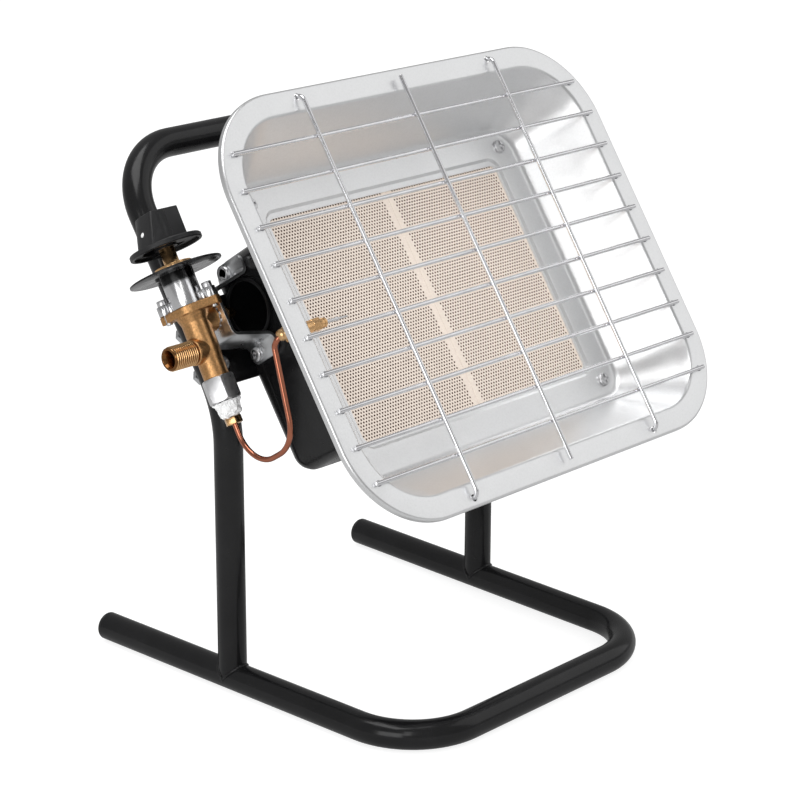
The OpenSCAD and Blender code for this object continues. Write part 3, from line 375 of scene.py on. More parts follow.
def bent_bar(name, points, bends, radius, sides=40, steps=14, closed=True):
    """A round bar along a line of points, with a bend of its own radius at each."""
    points = [Vector(p) for p in points]
    way = (points[1] - points[0]).normalized()
    piece = primitive("circle", name, vertices=sides, radius=radius, location=points[0],
                      rotation=way.to_track_quat("Z", "Y").to_euler(), fill_type="NOTHING")
    fix_place()
    edit(piece, "EDGE")
    take_all()
    here = points[0]
    for i in range(1, len(points)):
        ahead = (points[i] - points[i - 1]).normalized()
        take = 0
        if i < len(points) - 1:
            onward = (points[i + 1] - points[i]).normalized()
            angle = ahead.angle(onward)
            take = bends[i] * math.tan(angle / 2)
        goal = points[i] - ahead * take
        extrude(goal - here)
        here = goal
        if take:
            axis = ahead.cross(onward).normalized()
            middle = goal + axis.cross(ahead) * bends[i]
            bpy.ops.mesh.spin(steps=steps, angle=-angle, center=middle, axis=axis)
            here = points[i] + onward * take
    if closed:
        bpy.ops.mesh.edge_face_add()
        take_none()
        first = points[0]
        pick(piece, edges=lambda e: e.is_boundary
             and all((v.co - first).length < radius * 1.01 for v in e.verts))
        bpy.ops.mesh.edge_face_add()
    close_outward()
    return piece


def drawn_line(name, points):
    """A line of edges through points, left open in edit mode with all of it selected."""
    piece = primitive("circle", name, vertices=3, radius=0.001, location=points[0])
    fix_place()
    edit(piece, "VERT")
    take_all()
    bpy.ops.mesh.merge(type="CENTER")
    for here, goal in zip(points, points[1:]):
        extrude(Vector(goal) - Vector(here))
    take_all()
    return piece


def lathed(name, outline, sides=64, closed=False):
    """A turned piece about the Z axis, from its outline of (radius, height) points."""
    line = list(outline) + ([outline[0]] if closed else [])
    piece = drawn_line(name, [(radius, 0, height) for radius, height in line])
    bpy.ops.mesh.spin(steps=sides, angle=2 * math.pi, center=(0, 0, 0), axis=(0, 0, 1))
    close_outward(1e-6)
    return piece


def in_mm(*points):
    """Points of an outline, given in millimetres."""
    return [(radius * MM, height * MM) for radius, height in points]


def rounded_line(points, radii, steps=6):
    """A flat line of points whose corners are rounded, each with its own radius."""
    made = []
    for i, point in enumerate(points):
        here = Vector(point)
        if not radii[i]:
            made.append(here)
            continue
        back = (Vector(points[i - 1]) - here).normalized()
        onward = (Vector(points[i + 1]) - here).normalized()
        half = back.angle(onward) / 2
        reach = radii[i] / math.tan(half)
        middle = here + (back + onward).normalized() * radii[i] / math.sin(half)
        first = here + back * reach - middle
        turn = (math.pi - 2 * half) * (1 if back.x * onward.y - back.y * onward.x < 0 else -1)
        for k in range(steps + 1):
            a = turn * k / steps
            made.append(middle + Vector((first.x * math.cos(a) - first.y * math.sin(a),
                                         first.x * math.sin(a) + first.y * math.cos(a))))
    return made


def rounded_plane(name, half, radius, height, segments=12):
    """A flat rectangle with round corners."""
    piece = primitive("plane", name, size=1, location=(0, 0, height))
    piece.scale = (2 * half[0], 2 * half[1], 1)
    fix_place()
    edit(piece, "VERT")
    take_all()
    bpy.ops.mesh.bevel(offset=radius, segments=segments, affect="VERTICES", profile=0.5)
    take_all("FACE")
    return piece


def open_sheet(piece):
    """Takes away the filled outlines of a pressed sheet and leaves its edges open."""
    take_none()
    pick(piece, faces=lambda f: len(f.verts) > 60)
    bpy.ops.mesh.delete(type="ONLY_FACE")
    leave_edit()


def press(line):
    """Presses the selected face along a line of (distance from the core, height) points."""
    for (r0, z0), (r1, z1) in zip(line, line[1:]):
        if r0 - r1 > 1e-7:
            bpy.ops.mesh.inset(thickness=r0 - r1, depth=z1 - z0, use_even_offset=True,
                               use_boundary=True)
        else:
            extrude((0, 0, z1 - z0))


# Finishes

def node(tree, kind, inputs=None, **settings):
    """Adds a shader node, sets it and links or fills its sockets."""
    made = tree.nodes.new("ShaderNode" + kind)
    for key, value in settings.items():
        setattr(made, key, value)
    for socket, value in (inputs or {}).items():
        if isinstance(value, bpy.types.NodeSocket):
            tree.links.new(value, made.inputs[socket])
        else:
            made.inputs[socket].default_value = value
    return made


def new_finish(name, **shader):
    """A material with a bare shader, its tree and the place of a point on the object."""
    finish = bpy.data.materials.new(name)
    finish.use_nodes = True
    tree = finish.node_tree
    shade = tree.nodes["Principled BSDF"]
    for socket, value in shader.items():
        shade.inputs[socket.replace("_", " ")].default_value = value
    return finish, tree, node(tree, "TexCoord").outputs["Object"]


def dress(finish, **sockets):
    """Links a finish's colour, roughness or relief to its shader, and gives the finish back."""
    tree = finish.node_tree
    shade = tree.nodes["Principled BSDF"]
    for socket, made in sockets.items():
        tree.links.new(made, shade.inputs[socket.replace("_", " ")])
    return finish


def tinted(finish, tint):
    """A finish with its colour multiplied by a tint."""
    tree = finish.node_tree
    colour = tree.nodes["Principled BSDF"].inputs["Base Color"].links[0].from_socket
    mixed = node(tree, "Mix", {"Factor": 1.0, "A": colour, "B": tint}, data_type="RGBA",
                 blend_type="MULTIPLY")
    return dress(finish, Base_Color=mixed.outputs["Result"])


def noise(tree, place, size, detail=3.0, rough=0.55):
    """Noise whose blotches are about that size."""
    return node(tree, "TexNoise", {"Vector": place, "Scale": 1 / size, "Detail": detail,
                                   "Roughness": rough}).outputs["Fac"]


def blend_of(tree, fac, stops):
    """A colour that changes with fac, from a list of (position, colour)."""
    ramp = node(tree, "ValToRGB", {"Fac": fac})
    bands = ramp.color_ramp.elements
    while len(bands) < len(stops):
        bands.new(0.5)
    for band, (at, colour) in zip(bands, stops):
        band.position = at
        band.color = (*colour, 1)
    return ramp.outputs["Color"]


def spread(tree, fac, low, high, from_low=0.3, from_high=0.7):
    """Fac brought to a range of numbers."""
    return node(tree, "MapRange", {"Value": fac, "From Min": from_low, "From Max": from_high,
                                   "To Min": low, "To Max": high}).outputs["Result"]


def bump(tree, height, distance, strength=1.0, over=None):
    """A bump whose relief is that many metres, over another bump."""
    inputs = {"Height": height, "Distance": distance, "Strength": strength}
    if over is not None:
        inputs["Normal"] = over
    return node(tree, "Bump", inputs).outputs["Normal"]


def turned_place(tree, place, matrix, scale=(1, 1, 1)):
    """A place told in the axes of the head or the valve, stretched along them."""
    inside = node(tree, "Mapping", {"Vector": place, "Location": matrix.to_translation(),
                                    "Rotation": matrix.to_euler()}, vector_type="TEXTURE")
    return node(tree, "Mapping", {"Vector": inside.outputs["Vector"], "Scale": scale},
                vector_type="POINT").outputs["Vector"]


RING_STEP = 0.4 * MM
BONNET_FOOT, BONNET_TOP = 9 * MM, 28 * MM


def shade_of(colour, share):
    """A colour made darker or lighter."""
    return tuple(min(1.0, c * share) for c in colour[:3])


def tones(tree, fac, colour, *stops):
    """Darker and lighter tones of a colour, from (position, share of its brightness)."""
    return blend_of(tree, fac, [(at, shade_of(colour, share)) for at, share in stops])


def gloss_paint(name, colour, low=0.16, high=0.26, peel=0.000012):
    """Gloss paint with a faint orange peel and a few duller patches."""
    finish, tree, place = new_finish(name, Specular_IOR_Level=0.3, Coat_Weight=0.1,
                                     Coat_Roughness=0.08)
    patches = noise(tree, place, 0.03)
    return dress(finish, Base_Color=tones(tree, patches, colour, (0.3, 0.8), (0.7, 1.35)),
                 Roughness=spread(tree, noise(tree, place, 0.006), low, high),
                 Normal=bump(tree, noise(tree, place, 0.003, 2), peel))


def grained_plastic(name, colour, low=0.34, high=0.46, grain=0.00004):
    """Moulded plastic with a fine grain."""
    finish, tree, place = new_finish(name, Specular_IOR_Level=0.45)
    patches = noise(tree, place, 0.012)
    return dress(finish, Base_Color=tones(tree, patches, colour, (0.3, 0.85), (0.7, 1.25)),
                 Roughness=spread(tree, noise(tree, place, 0.003), low, high),
                 Normal=bump(tree, noise(tree, place, 0.0004, 1), grain))


def rolled_sheet(name, colour, rough, grain=0.00002):
    """Aluminised sheet steel: satin, faintly mottled, with the fine grain of rolling."""
    finish, tree, place = new_finish(name, Metallic=0.9)
    mottle = noise(tree, place, 0.0012, 4, 0.7)
    return dress(
        finish,
        Base_Color=tones(tree, mottle, colour, (0.25, 0.95), (0.5, 1), (0.78, 1.04)),
        Roughness=spread(tree, noise(tree, place, 0.02), rough - 0.03, rough + 0.04),
        Normal=bump(tree, noise(tree, place, 0.0006, 2), grain))


def bright_metal(name, colour, low, high, blotch=0.004, grain=0.00001, fine=0.0006, stretch=None,
                 axes=None):
    """Plated or turned metal, with streaks where its axes are given a stretch."""
    finish, tree, place = new_finish(name, Metallic=1.0)
    along = turned_place(tree, place, axes, stretch) if axes else place
    spots = noise(tree, along, blotch, 4, 0.65)
    return dress(finish,
                 Base_Color=tones(tree, spots, colour, (0.25, 0.88), (0.55, 1), (0.8, 1.08)),
                 Roughness=spread(tree, noise(tree, along, blotch * 0.6), low, high),
                 Normal=bump(tree, noise(tree, along, fine, 2), grain))


def cast_metal(name, colour):
    """Sand-cast brass: dull, pitted and darker in its hollows."""
    finish, tree, place = new_finish(name, Metallic=1.0)
    skin = noise(tree, place, 0.0011, 5, 0.7)
    dress(finish, Base_Color=tones(tree, skin, colour, (0.25, 0.55), (0.5, 1), (0.75, 1.35)),
          Roughness=spread(tree, skin, 0.42, 0.3))
    pits = bump(tree, noise(tree, place, 0.0007, 3), 0.00006)
    return dress(finish, Normal=bump(tree, noise(tree, place, 0.004, 2), 0.0002, 0.6, pits))


def turned_metal(name, colour, turn="Z"):
    """Machined metal, with the fine rings that the tool leaves along an axis of the valve."""
    finish, tree, place = new_finish(name, Metallic=1.0)
    along = turned_place(tree, place, VALVE)
    rings = node(tree, "TexWave", {"Vector": along, "Scale": 1 / (RING_STEP * 6.28),
                                   "Distortion": 1.2, "Detail": 1.0},
                 bands_direction=turn).outputs["Fac"]
    spots = noise(tree, along, 0.003, 3, 0.6)
    return dress(finish, Base_Color=tones(tree, spots, colour, (0.3, 0.8), (0.7, 1.15)),
                 Roughness=spread(tree, spots, 0.16, 0.26),
                 Normal=bump(tree, rings, 0.000012, 0.7))


def fired_clay(name, colour, dark):
    """Fired ceramic: matte and powdery, with fine specks."""
    finish, tree, place = new_finish(name, Specular_IOR_Level=0.2)
    specks = noise(tree, place, 0.0009, 3, 0.6)
    cloud = noise(tree, place, 0.03, 2)
    pale = tones(tree, specks, colour, (0.3, 0.92), (0.7, 1.05))
    tint = node(tree, "Mix", {"Factor": spread(tree, cloud, 0.0, 0.18), "A": pale,
                              "B": (*dark, 1)}, data_type="RGBA")
    return dress(finish, Base_Color=tint.outputs["Result"],
                 Roughness=spread(tree, specks, 0.82, 0.95),
                 Normal=bump(tree, noise(tree, place, 0.0005, 2), 0.00005))


def fibre_tape(name, colour):
    """Thin white sealing tape, creased where it was wound and pressed, with painted shade darkening
    the colour along the creases.
    """
    finish, tree, place = new_finish(name, Specular_IOR_Level=0.4)
    creases = node(tree, "TexVoronoi", {"Vector": place, "Scale": 240.0, "Randomness": 1.0},
                   feature="DISTANCE_TO_EDGE").outputs["Distance"]
    folds = spread(tree, creases, 0.0, 1.0, 0.0, 0.16)
    # Painted shade: the colour darkens along the creases, the same lines that the relief follows
    dress(finish, Base_Color=tones(tree, folds, colour, (0.0, 0.8), (0.3, 0.97), (1.0, 1)),
          Roughness=spread(tree, noise(tree, place, 0.002), 0.35, 0.6))
    crease = bump(tree, folds, 0.0003)
    return dress(finish, Normal=bump(tree, noise(tree, place, 0.0012, 3), 0.0002, 0.8, crease))


def once(name, make, *rest, **more):
    """A finish that several pieces share."""
    return bpy.data.materials.get(name) or make(name, *rest, **more)


def zinc_plate():
    """The plating of the bracket, the baffle and the bolts."""
    return once("zinc_plate", bright_metal, (0.66, 0.67, 0.68), 0.26, 0.34, 0.012, 0.000003)


def steel_screw():
    """The bright steel of the screws, the washer, the probe and the magnet unit."""
    return once("steel_turned", bright_metal, (0.76, 0.76, 0.77), 0.26, 0.38, 0.004, 0.000003)


def turned_brass():
    """The machined brass of the valve's small pieces, its nut and its fitting."""
    return once("brass_turned", turned_metal, bpy.context.scene.heater_valve.turned_brass)


def brass_with_painted_groove_shade(colour):
    """Bright brass with painted shade making the grooves between the thread's ridges dull and
    darker.
    """
    finish = turned_metal("inlet_brass", colour, "X")
    tree = finish.node_tree
    place = node(tree, "TexCoord").outputs["Object"]
    inside = node(tree, "VectorMath", {0: turned_place(tree, place, VALVE),
                                       1: (0, 0, -INLET_AT)}, operation="ADD").outputs["Vector"]
    flat = node(tree, "VectorMath", {0: inside, 1: (0, 1, 1)},
                operation="MULTIPLY").outputs["Vector"]
    out = node(tree, "VectorMath", {0: flat}, operation="LENGTH").outputs["Value"]
    crest = spread(tree, out, 0.0, 1.0, INLET_RADIUS - 0.8 * THREAD_DEPTH,
                   INLET_RADIUS - 0.2 * THREAD_DEPTH)
    # Painted shade: the colour darkens towards the roots of the thread, where shade falls between
    # the ridges
    return tinted(finish, blend_of(tree, crest, [(0.0, (0.3, 0.22, 0.16)), (1.0, (1, 1, 1))]))


def bonnet_with_painted_reflection():
    """Polished bonnet steel with a painted reflection: a dark band near its top stands for the
    shield's black underside mirrored in it.
    """
    finish = bright_metal("bonnet_steel", (0.68, 0.68, 0.69), 0.14, 0.26, 0.005, 0.00001, 0.0006,
                          (1, 1, 0.2), VALVE)
    tree = finish.node_tree
    place = node(tree, "TexCoord").outputs["Object"]
    height = node(tree, "SeparateXYZ", {"Vector": turned_place(tree, place, VALVE)}).outputs["Z"]
    share = spread(tree, height, 0.0, 1.0, BONNET_FOOT, BONNET_TOP)
    # Painted reflection: the top of the can is darkened as if it mirrored the shield's black
    # underside
    return tinted(finish, blend_of(tree, share, [(0.66, (1, 1, 1)), (0.74, (0.12, 0.12, 0.12))]))


def maths(tree, operation, first, second):
    """The result of one sum on two values."""
    return node(tree, "Math", {0: first, 1: second}, operation=operation).outputs["Value"]


def plainly_seen(tree, path):
    """1 on rays that show the background itself, from the camera or through glass."""
    return maths(tree, "MAXIMUM", path.outputs["Is Camera Ray"],
                 path.outputs["Is Transmission Ray"])


def by_reflection(tree, path, plain, mirrored):
    """One value, and another one where a glossy surface mirrors it."""
    return node(tree, "MapRange", {"Value": path.outputs["Is Glossy Ray"], "To Min": plain,
                                   "To Max": mirrored}).outputs["Result"]


def floor_finish(colour):
    """A pale floor that meets the white backdrop and keeps the heater's shadow."""
    finish = bpy.data.materials.new("studio_floor")
    finish.use_nodes = True
    tree = finish.node_tree
    tree.nodes.remove(tree.nodes["Principled BSDF"])
    place = node(tree, "TexCoord").outputs["Object"]
    tint = tones(tree, noise(tree, place, 0.4, 2), colour, (0.3, 0.985), (0.7, 1.0))
    matte = node(tree, "BsdfDiffuse", {"Color": tint}).outputs["BSDF"]
    path = node(tree, "LightPath")
    level = by_reflection(tree, path, 1.38, 0.35)
    glow = node(tree, "Emission", {"Color": (1, 1, 1, 1), "Strength": level}).outputs["Emission"]
    seen = maths(tree, "MULTIPLY", plainly_seen(tree, path), 0.6)
    shine = maths(tree, "MULTIPLY", path.outputs["Is Glossy Ray"], 0.7)
    share = maths(tree, "MAXIMUM", seen, shine)
    mixed = node(tree, "MixShader", {0: share, 1: matte, 2: glow}).outputs["Shader"]
    tree.links.new(mixed, tree.nodes["Material Output"].inputs["Surface"])
    return finish


# Pieces

HALF_LEG_GAP = 98 * MM
LEG_SPREAD = 6.5 * MM
LEG_LENGTH = 239 * MM
TUBE_AXIS = 8 * MM
CAP = 2 * MM


class HeaterStand(bpy.types.Operator):
    """Bends the base tube and the hoop with its handle, and welds the posts to the legs"""
    bl_idname = "heater.stand"
    bl_label = "Stand"

    def execute(self, context):
        sizes = context.scene.heater_stand
        paint = gloss_paint("stand_paint", sizes.paint)
        radius = sizes.tube_diameter / 2
        rear = [Vector((s * (HALF_LEG_GAP + LEG_SPREAD), 0, TUBE_AXIS)) for s in (-1, 1)]
        front = [Vector((s * HALF_LEG_GAP, -LEG_LENGTH, TUBE_AXIS)) for s in (-1, 1)]
        ends = [r + (f - r).normalized() * CAP for r, f in zip(rear, front)]
        base = bent_bar("base_tube_bent", [ends[0], front[0], front[1], ends[1]],
                        [0, 42 * MM, 42 * MM, 0], radius, 56, 20)
        put_in_place(base, STAND)
        smooth(base)
        settle(base, paint, body_of("base_tube"), "base_tube")

        top = KNEE + UP_FACE * HOOP_RISE
        foot = Vector((KNEE.x, KNEE.y, TUBE_AXIS))
        flip = Vector((-1, 1, 1))
        hoop = bent_bar("post_hoop_bent", [foot * flip, KNEE * flip, top * flip, top, KNEE, foot],
                        [0, 65 * MM, 37 * MM, 37 * MM, 65 * MM, 0], radius, 56, 20)
        put_in_place(hoop, STAND)
        smooth(hoop)
        settle(hoop, paint, body_of("post_hoop"), "post_hoop")

        beads = []
        for side in (-1, 1):
            bead = primitive("torus", "bead", major_radius=radius, major_segments=120,
                             minor_radius=sizes.weld_width / 2, minor_segments=10)
            for corner in bead.data.vertices:
                x, y, z = corner.co
                turn = math.atan2(y, x)
                swell = 1 + 0.1 * math.sin(turn * 38) + 0.06 * math.sin(turn * 17 + side)
                out = radius + (math.hypot(x, y) - radius) * swell * 0.8 - 0.3 * MM
                saddle = radius * abs(math.sin(turn)) ** 0.9
                corner.co = (math.cos(turn) * out, math.sin(turn) * out,
                             z * swell * 0.8 + saddle - 0.2 * MM)
            bead.location = (side * KNEE.x, KNEE.y, TUBE_AXIS)
            put_in_place(bead, STAND)
            beads.append(bead)
        welds = join("post_welds", beads)
        smooth(welds, 60)
        settle(welds, paint, body_of("post_hoop"))
        softened("leg_end_caps", grained_plastic("cap_plastic", (0.014, 0.014, 0.014)), 0.2 * MM)
        return {"FINISHED"}


class HeaterPlate(bpy.types.Operator):
    """Rounds the edges of the plate across the posts and of its bolts"""
    bl_idname = "heater.plate"
    bl_label = "Cross plate"

    def execute(self, context):
        colour = context.scene.heater_stand.paint
        softened("cross_plate", gloss_paint("plate_paint", colour, 0.3, 0.42), 0.4 * MM)
        softened("cross_plate_bolts", zinc_plate(), 0.2 * MM)
        return {"FINISHED"}


CORE = (93.5 * MM, 67.5 * MM)
DISH_DEPTH = 40 * MM
LONG_AT, LONG_END = 73.5 * MM, 112.5 * MM
PROBE_AT = Vector((0, 0.5, -26.8)) * MM


class HeaterReflector(bpy.types.Operator):
    """Presses the reflector's dish with its rim, recess and opening, and fits its screws"""
    bl_idname = "heater.reflector"
    bl_label = "Reflector"

    def execute(self, context):
        sizes = context.scene.heater_reflector
        sheet = rolled_sheet("reflector_sheet", sizes.sheet, sizes.roughness)
        dish_line = rounded_line([(50, -3.5), (50, 0), (37, 0), (15.5, -40), (11.5, -40)],
                                 [0, 1.5, 3, 5, 0])
        dish = rounded_plane("dish", (CORE[0] + 50 * MM, CORE[1] + 50 * MM), 50 * MM, -3.5 * MM, 28)
        press([p * MM for p in dish_line])
        open_sheet(dish)
        recess_line = rounded_line([(10, -40), (8, -40), (6.5, -41.2), (6, -41.2)],
                                   [0, 0.5, 0.3, 0], 4)
        recess = rounded_plane("recess", (94 * MM, 70 * MM), 10 * MM, -40 * MM, 28)
        press([p * MM for p in recess_line])
        leave_edit()
        dish = join("reflector_dish", [dish, recess])
        edit(dish, "EDGE")
        pick(dish, edges=lambda e: len(e.link_faces) < 2
             and all(abs(v.co.z + DISH_DEPTH) < 1e-5 for v in e.verts))
        bpy.ops.mesh.bridge_edge_loops()
        leave_edit()
        edit(dish)
        close_outward()
        faces = dish.data.polygons
        if sum(f.normal.z > 0.9 for f in faces) <= sum(f.normal.z < -0.9 for f in faces):
            turn_over(dish)
        apply_modifier(dish, "SOLIDIFY", thickness=sizes.sheet_thickness, offset=-1,
                       use_even_offset=True)
        drills = [rounded_plane("drill", (89 * MM, 63.5 * MM), 4 * MM, -45 * MM, 12)]
        extrude((0, 0, 7 * MM))
        close_outward()
        for sx in (-1, 1):
            for sy in (-1, 1):
                drills.append(primitive("cylinder", "drill", vertices=24, radius=2 * MM,
                                        depth=8 * MM, location=(sx * LONG_AT, sy * LONG_END, 0)))
        drills.append(primitive("cylinder", "drill", vertices=24, radius=3 * MM, depth=30 * MM,
                                location=(-120 * MM, PROBE_AT[1], PROBE_AT[2]),
                                rotation=(0, math.pi / 2, 0)))
        carve(dish, join("drills", drills))
        put_in_place(dish, HEAD)
        smooth(dish, 25)
        settle(dish, sheet, body_of("reflector"), "reflector")
        softened("reflector_screws", steel_screw(), 0.15 * MM)
        return {"FINISHED"}


CROSS_WIRES, CROSS_STEP, CROSS_REACH = 10, 19.85, 136.2
SHORTER_BY = {0: 3.8, 9: 3.3}


class HeaterGuard(bpy.types.Operator):
    """Makes the guard's cross wires and long wires and the marks of their welds"""
    bl_idname = "heater.guard"
    bl_label = "Wire guard"

    def execute(self, context):
        sizes = context.scene.heater_guard
        radius = sizes.wire_diameter / 2
        raised = 3 * radius + 0.02 * MM
        wires = []
        marks = []
        for i in range(CROSS_WIRES):
            reach = (CROSS_REACH - SHORTER_BY.get(i, 0)) * MM
            height = ((CROSS_WIRES - 1) / 2 - i) * CROSS_STEP * MM
            wires.append(primitive("cylinder", "wire", vertices=24, radius=radius, depth=2 * reach,
                                   location=(0, height, radius), rotation=(0, math.pi / 2, 0)))
            fix_place()
            marks += [(s * (reach - 3.2 * MM), height, 0.1 * MM, 1.7, 0.55) for s in (-1, 1)]
            marks += [(s * LONG_AT, height, 2 * radius - 0.1 * MM, 1.25, 0.7) for s in (-1, 0, 1)]
        for x in (-LONG_AT, LONG_AT):
            line = [(x, -LONG_END, -5 * MM), (x, -LONG_END, raised), (x, LONG_END, raised),
                    (x, LONG_END, -5 * MM)]
            wires.append(bent_bar("wire", line, [0, 4 * MM, 4 * MM, 0], radius, 24, 10))
        wires.append(primitive("cylinder", "wire", vertices=24, radius=radius, depth=224 * MM,
                               location=(0, 0, raised), rotation=(math.pi / 2, 0, 0)))
        fix_place()
        guard = join("guard_wires", wires)
        bevel_edges(guard, 0.3 * MM, 3, 60)
        smooth(guard)
        put_in_place(guard, HEAD)
        plating = bright_metal("wire_plating", sizes.plating, 0.08, 0.14, 0.012, 0.000001, 0.002)
        settle(guard, plating, body_of("wire_guard"), "wire_guard")
        spots = []
        for x, y, z, wide, tall in marks:
            spot = primitive("uv_sphere", "spot", segments=14, ring_count=8, radius=wide * MM,
                             location=(x, y, z))
            spot.scale = (1, 1, tall / wide)
            fix_place()
            spots.append(spot)
        welds = join("guard_welds", spots)
        put_in_place(welds, HEAD)
        smooth(welds, 60)
        burnt = bright_metal("weld_spots", (0.42, 0.42, 0.44), 0.3, 0.5, 0.001, 0.00005)
        settle(welds, burnt, body_of("wire_guard"))
        return {"FINISHED"}


PLAQUE = (92 * MM, 132 * MM, 12.8 * MM)
PLAQUE_FRONT = -42 * MM
DRILLED = (85.6 * MM, 128.5 * MM)


class HeaterPlaques(bpy.types.Operator):
    """Makes the two ceramic plaques, drilled all over with fine holes"""
    bl_idname = "heater.plaques"
    bl_label = "Ceramic plaques"

    def execute(self, context):
        sizes = context.scene.heater_burner
        pitch = sizes.hole_pitch
        row = pitch * math.sqrt(0.75)
        across = int(DRILLED[0] / pitch)
        up = 2 * int(DRILLED[1] / (2 * row))
        cell = primitive("circle", "cell", vertices=6, radius=pitch, fill_type="NGON")
        corners = [(0.5, 0.5), (0, 0.5), (-0.5, 0.5), (-0.5, -0.5), (0, -0.5), (0.5, -0.5)]
        for corner, (x, y) in zip(cell.data.vertices, corners):
            corner.co = (x * pitch, y * row, 0)
        edit(cell)
        take_all()
        bpy.ops.mesh.delete(type="ONLY_FACE")
        bpy.ops.mesh.primitive_circle_add(vertices=10, radius=sizes.hole_radius,
                                          fill_type="NOTHING")
        take_all("EDGE")
        bpy.ops.mesh.bridge_edge_loops()
        take_none()
        rim = sizes.hole_radius * 1.02
        pick(cell, edges=lambda e: all(v.co.xy.length < rim for v in e.verts))
        extrude((0, 0, -sizes.hole_depth))
        bpy.ops.mesh.edge_face_add()
        leave_edit()
        repeat(cell, across, (pitch, 0, 0))
        second = copy_of(cell, "second")
        second.location = (pitch / 2, row, 0)
        fillers = []
        for x, y in (((across - 0.25) * pitch, 0), (-pitch / 4, row)):
            filler = primitive("plane", "filler", size=1, location=(x, y, 0))
            filler.scale = (pitch / 2, row, 1)
            fillers.append(filler)
        for made in (second, *fillers):
            select_only(made)
            fix_place()
        rows = join("rows", [cell, second, *fillers])
        repeat(rows, up // 2, (0, 2 * row, 0))
        wide = (across + 0.5) * pitch
        tall = up * row
        wide_out, tall_out, deep_out = PLAQUE
        rows.location = (wide_out / 2 + pitch / 2 - wide / 2 - 0.2 * MM, row / 2 - tall / 2,
                         PLAQUE_FRONT)
        select_only(rows)
        fix_place()
        edit(rows)
        close_outward(2e-6)
        middle = (wide_out / 2 - 0.2 * MM, 0, PLAQUE_FRONT)
        edit(rows, "EDGE")
        pick(rows, edges=lambda e: len(e.link_faces) == 1)
        extrude((0, 0, 0))
        bpy.ops.transform.resize(value=((wide_out - 0.6 * MM) / wide,
                                        (tall_out - 0.5 * MM) / tall, 1),
                                 center_override=middle)
        bpy.ops.transform.translate(value=(0.2 * MM, 0, 0))
        extrude((0, 0, -0.25 * MM))
        bpy.ops.transform.resize(value=(wide_out / (wide_out - 0.6 * MM),
                                        tall_out / (tall_out - 0.5 * MM), 1),
                                 center_override=(wide_out / 2, 0, PLAQUE_FRONT))
        extrude((0, 0, 0.25 * MM - deep_out))
        bpy.ops.mesh.edge_face_add()
        close_outward()
        clay = fired_clay("fired_clay", sizes.clay, shade_of(sizes.clay, 0.8))
        hollow = fired_clay("hole_shade", (0.27, 0.165, 0.115), (0.12, 0.07, 0.05))
        other = copy_of(rows, "plaque_left_drilled")
        other.matrix_world = Matrix.Rotation(math.pi, 4, "Z")
        rows.name = "plaque_right_drilled"
        for piece, stands_for in ((rows, "plaque_right"), (other, "plaque_left")):
            deep = [f.index for f in piece.data.polygons
                    if f.center.z < PLAQUE_FRONT - 0.3 * MM
                    and f.center.z > PLAQUE_FRONT - sizes.hole_depth * 1.01]
            put_in_place(piece, HEAD)
            settle(piece, clay, body_of(stands_for), stands_for)
            piece.data.materials.append(hollow)
            for index in deep:
                piece.data.polygons[index].material_index = 1
        return {"FINISHED"}


class HeaterHousing(bpy.types.Operator):
    """Finishes the burner housing, the mixer tube, the gasket and the baffle"""
    bl_idname = "heater.housing"
    bl_label = "Burner housing"

    def execute(self, context):
        colour = context.scene.heater_burner.housing_paint
        outside = gloss_paint("housing_paint", colour, 0.2, 0.28, 0.000006)
        softened("burner_housing", outside, 0.15 * MM)
        duller = gloss_paint("mixer_paint", shade_of(colour, 0.8), 0.3, 0.45)
        softened("mixer_tube", duller, 0.1 * MM)
        paint_node("baffle_plate", zinc_plate())
        fibre = fired_clay("gasket_fibre", (0.78, 0.76, 0.71), (0.6, 0.58, 0.5))
        paint_node("plaque_gasket", fibre)
        return {"FINISHED"}


BRACKET_LINE = ((-86, 1.5), (-86, 13.2), (-111.2, 18.4), (-111.2, 41.9), (-86, 47.6), (-86, 58.2))
BRACKET_BENDS = (0, 5, 2.2, 2.2, 5, 0)
BRACKET_ENDS = (-96.5, -74)


class HeaterBracket(bpy.types.Operator):
    """Folds the bracket out of a strip, and finishes its screws, washer and injector"""
    bl_idname = "heater.bracket"
    bl_label = "Valve bracket"

    def execute(self, context):
        brass = turned_brass()
        rear, front = (z * MM for z in BRACKET_ENDS)
        line = rounded_line([(x * MM, y * MM) for x, y in BRACKET_LINE],
                            [r * MM for r in BRACKET_BENDS], 5)
        strip = drawn_line("valve_bracket_folded", [(x, y, rear) for x, y in line])
        extrude((0, 0, front - rear))
        low, high = line[0].y, line[-1].y
        for end, depth, cut in ((low, front, 6.5), (low, rear, 3), (high, front, 3),
                                (high, rear, 5)):
            take_none("VERT")
            pick(strip, corners=lambda v: abs(v.co.y - end) < 1e-6 and abs(v.co.z - depth) < 1e-6)
            bpy.ops.mesh.bevel(offset=cut * MM, segments=6, affect="VERTICES", profile=0.5)
        close_outward()
        web = min(strip.data.polygons, key=lambda f: f.center.x)
        if web.normal.x > 0:
            turn_over(strip)
        apply_modifier(strip, "SOLIDIFY", thickness=2 * MM, offset=1, use_even_offset=True)
        bevel_edges(strip, 0.3 * MM)
        put_in_place(strip, HEAD)
        smooth(strip, 35)
        settle(strip, zinc_plate(), body_of("valve_bracket"), "valve_bracket")
        softened("bracket_screws", steel_screw(), 0.2 * MM)
        softened("toothed_washer", steel_screw(), 0.08 * MM)
        softened("injector", brass, 0.15 * MM)
        return {"FINISHED"}


INLET_AT = -14.9 * MM
INLET_ROOT = 9.2 * MM
INLET_RADIUS = 6.5785 * MM
INLET_THREAD = 16.5 * MM
THREAD_DEPTH = 0.85 * MM


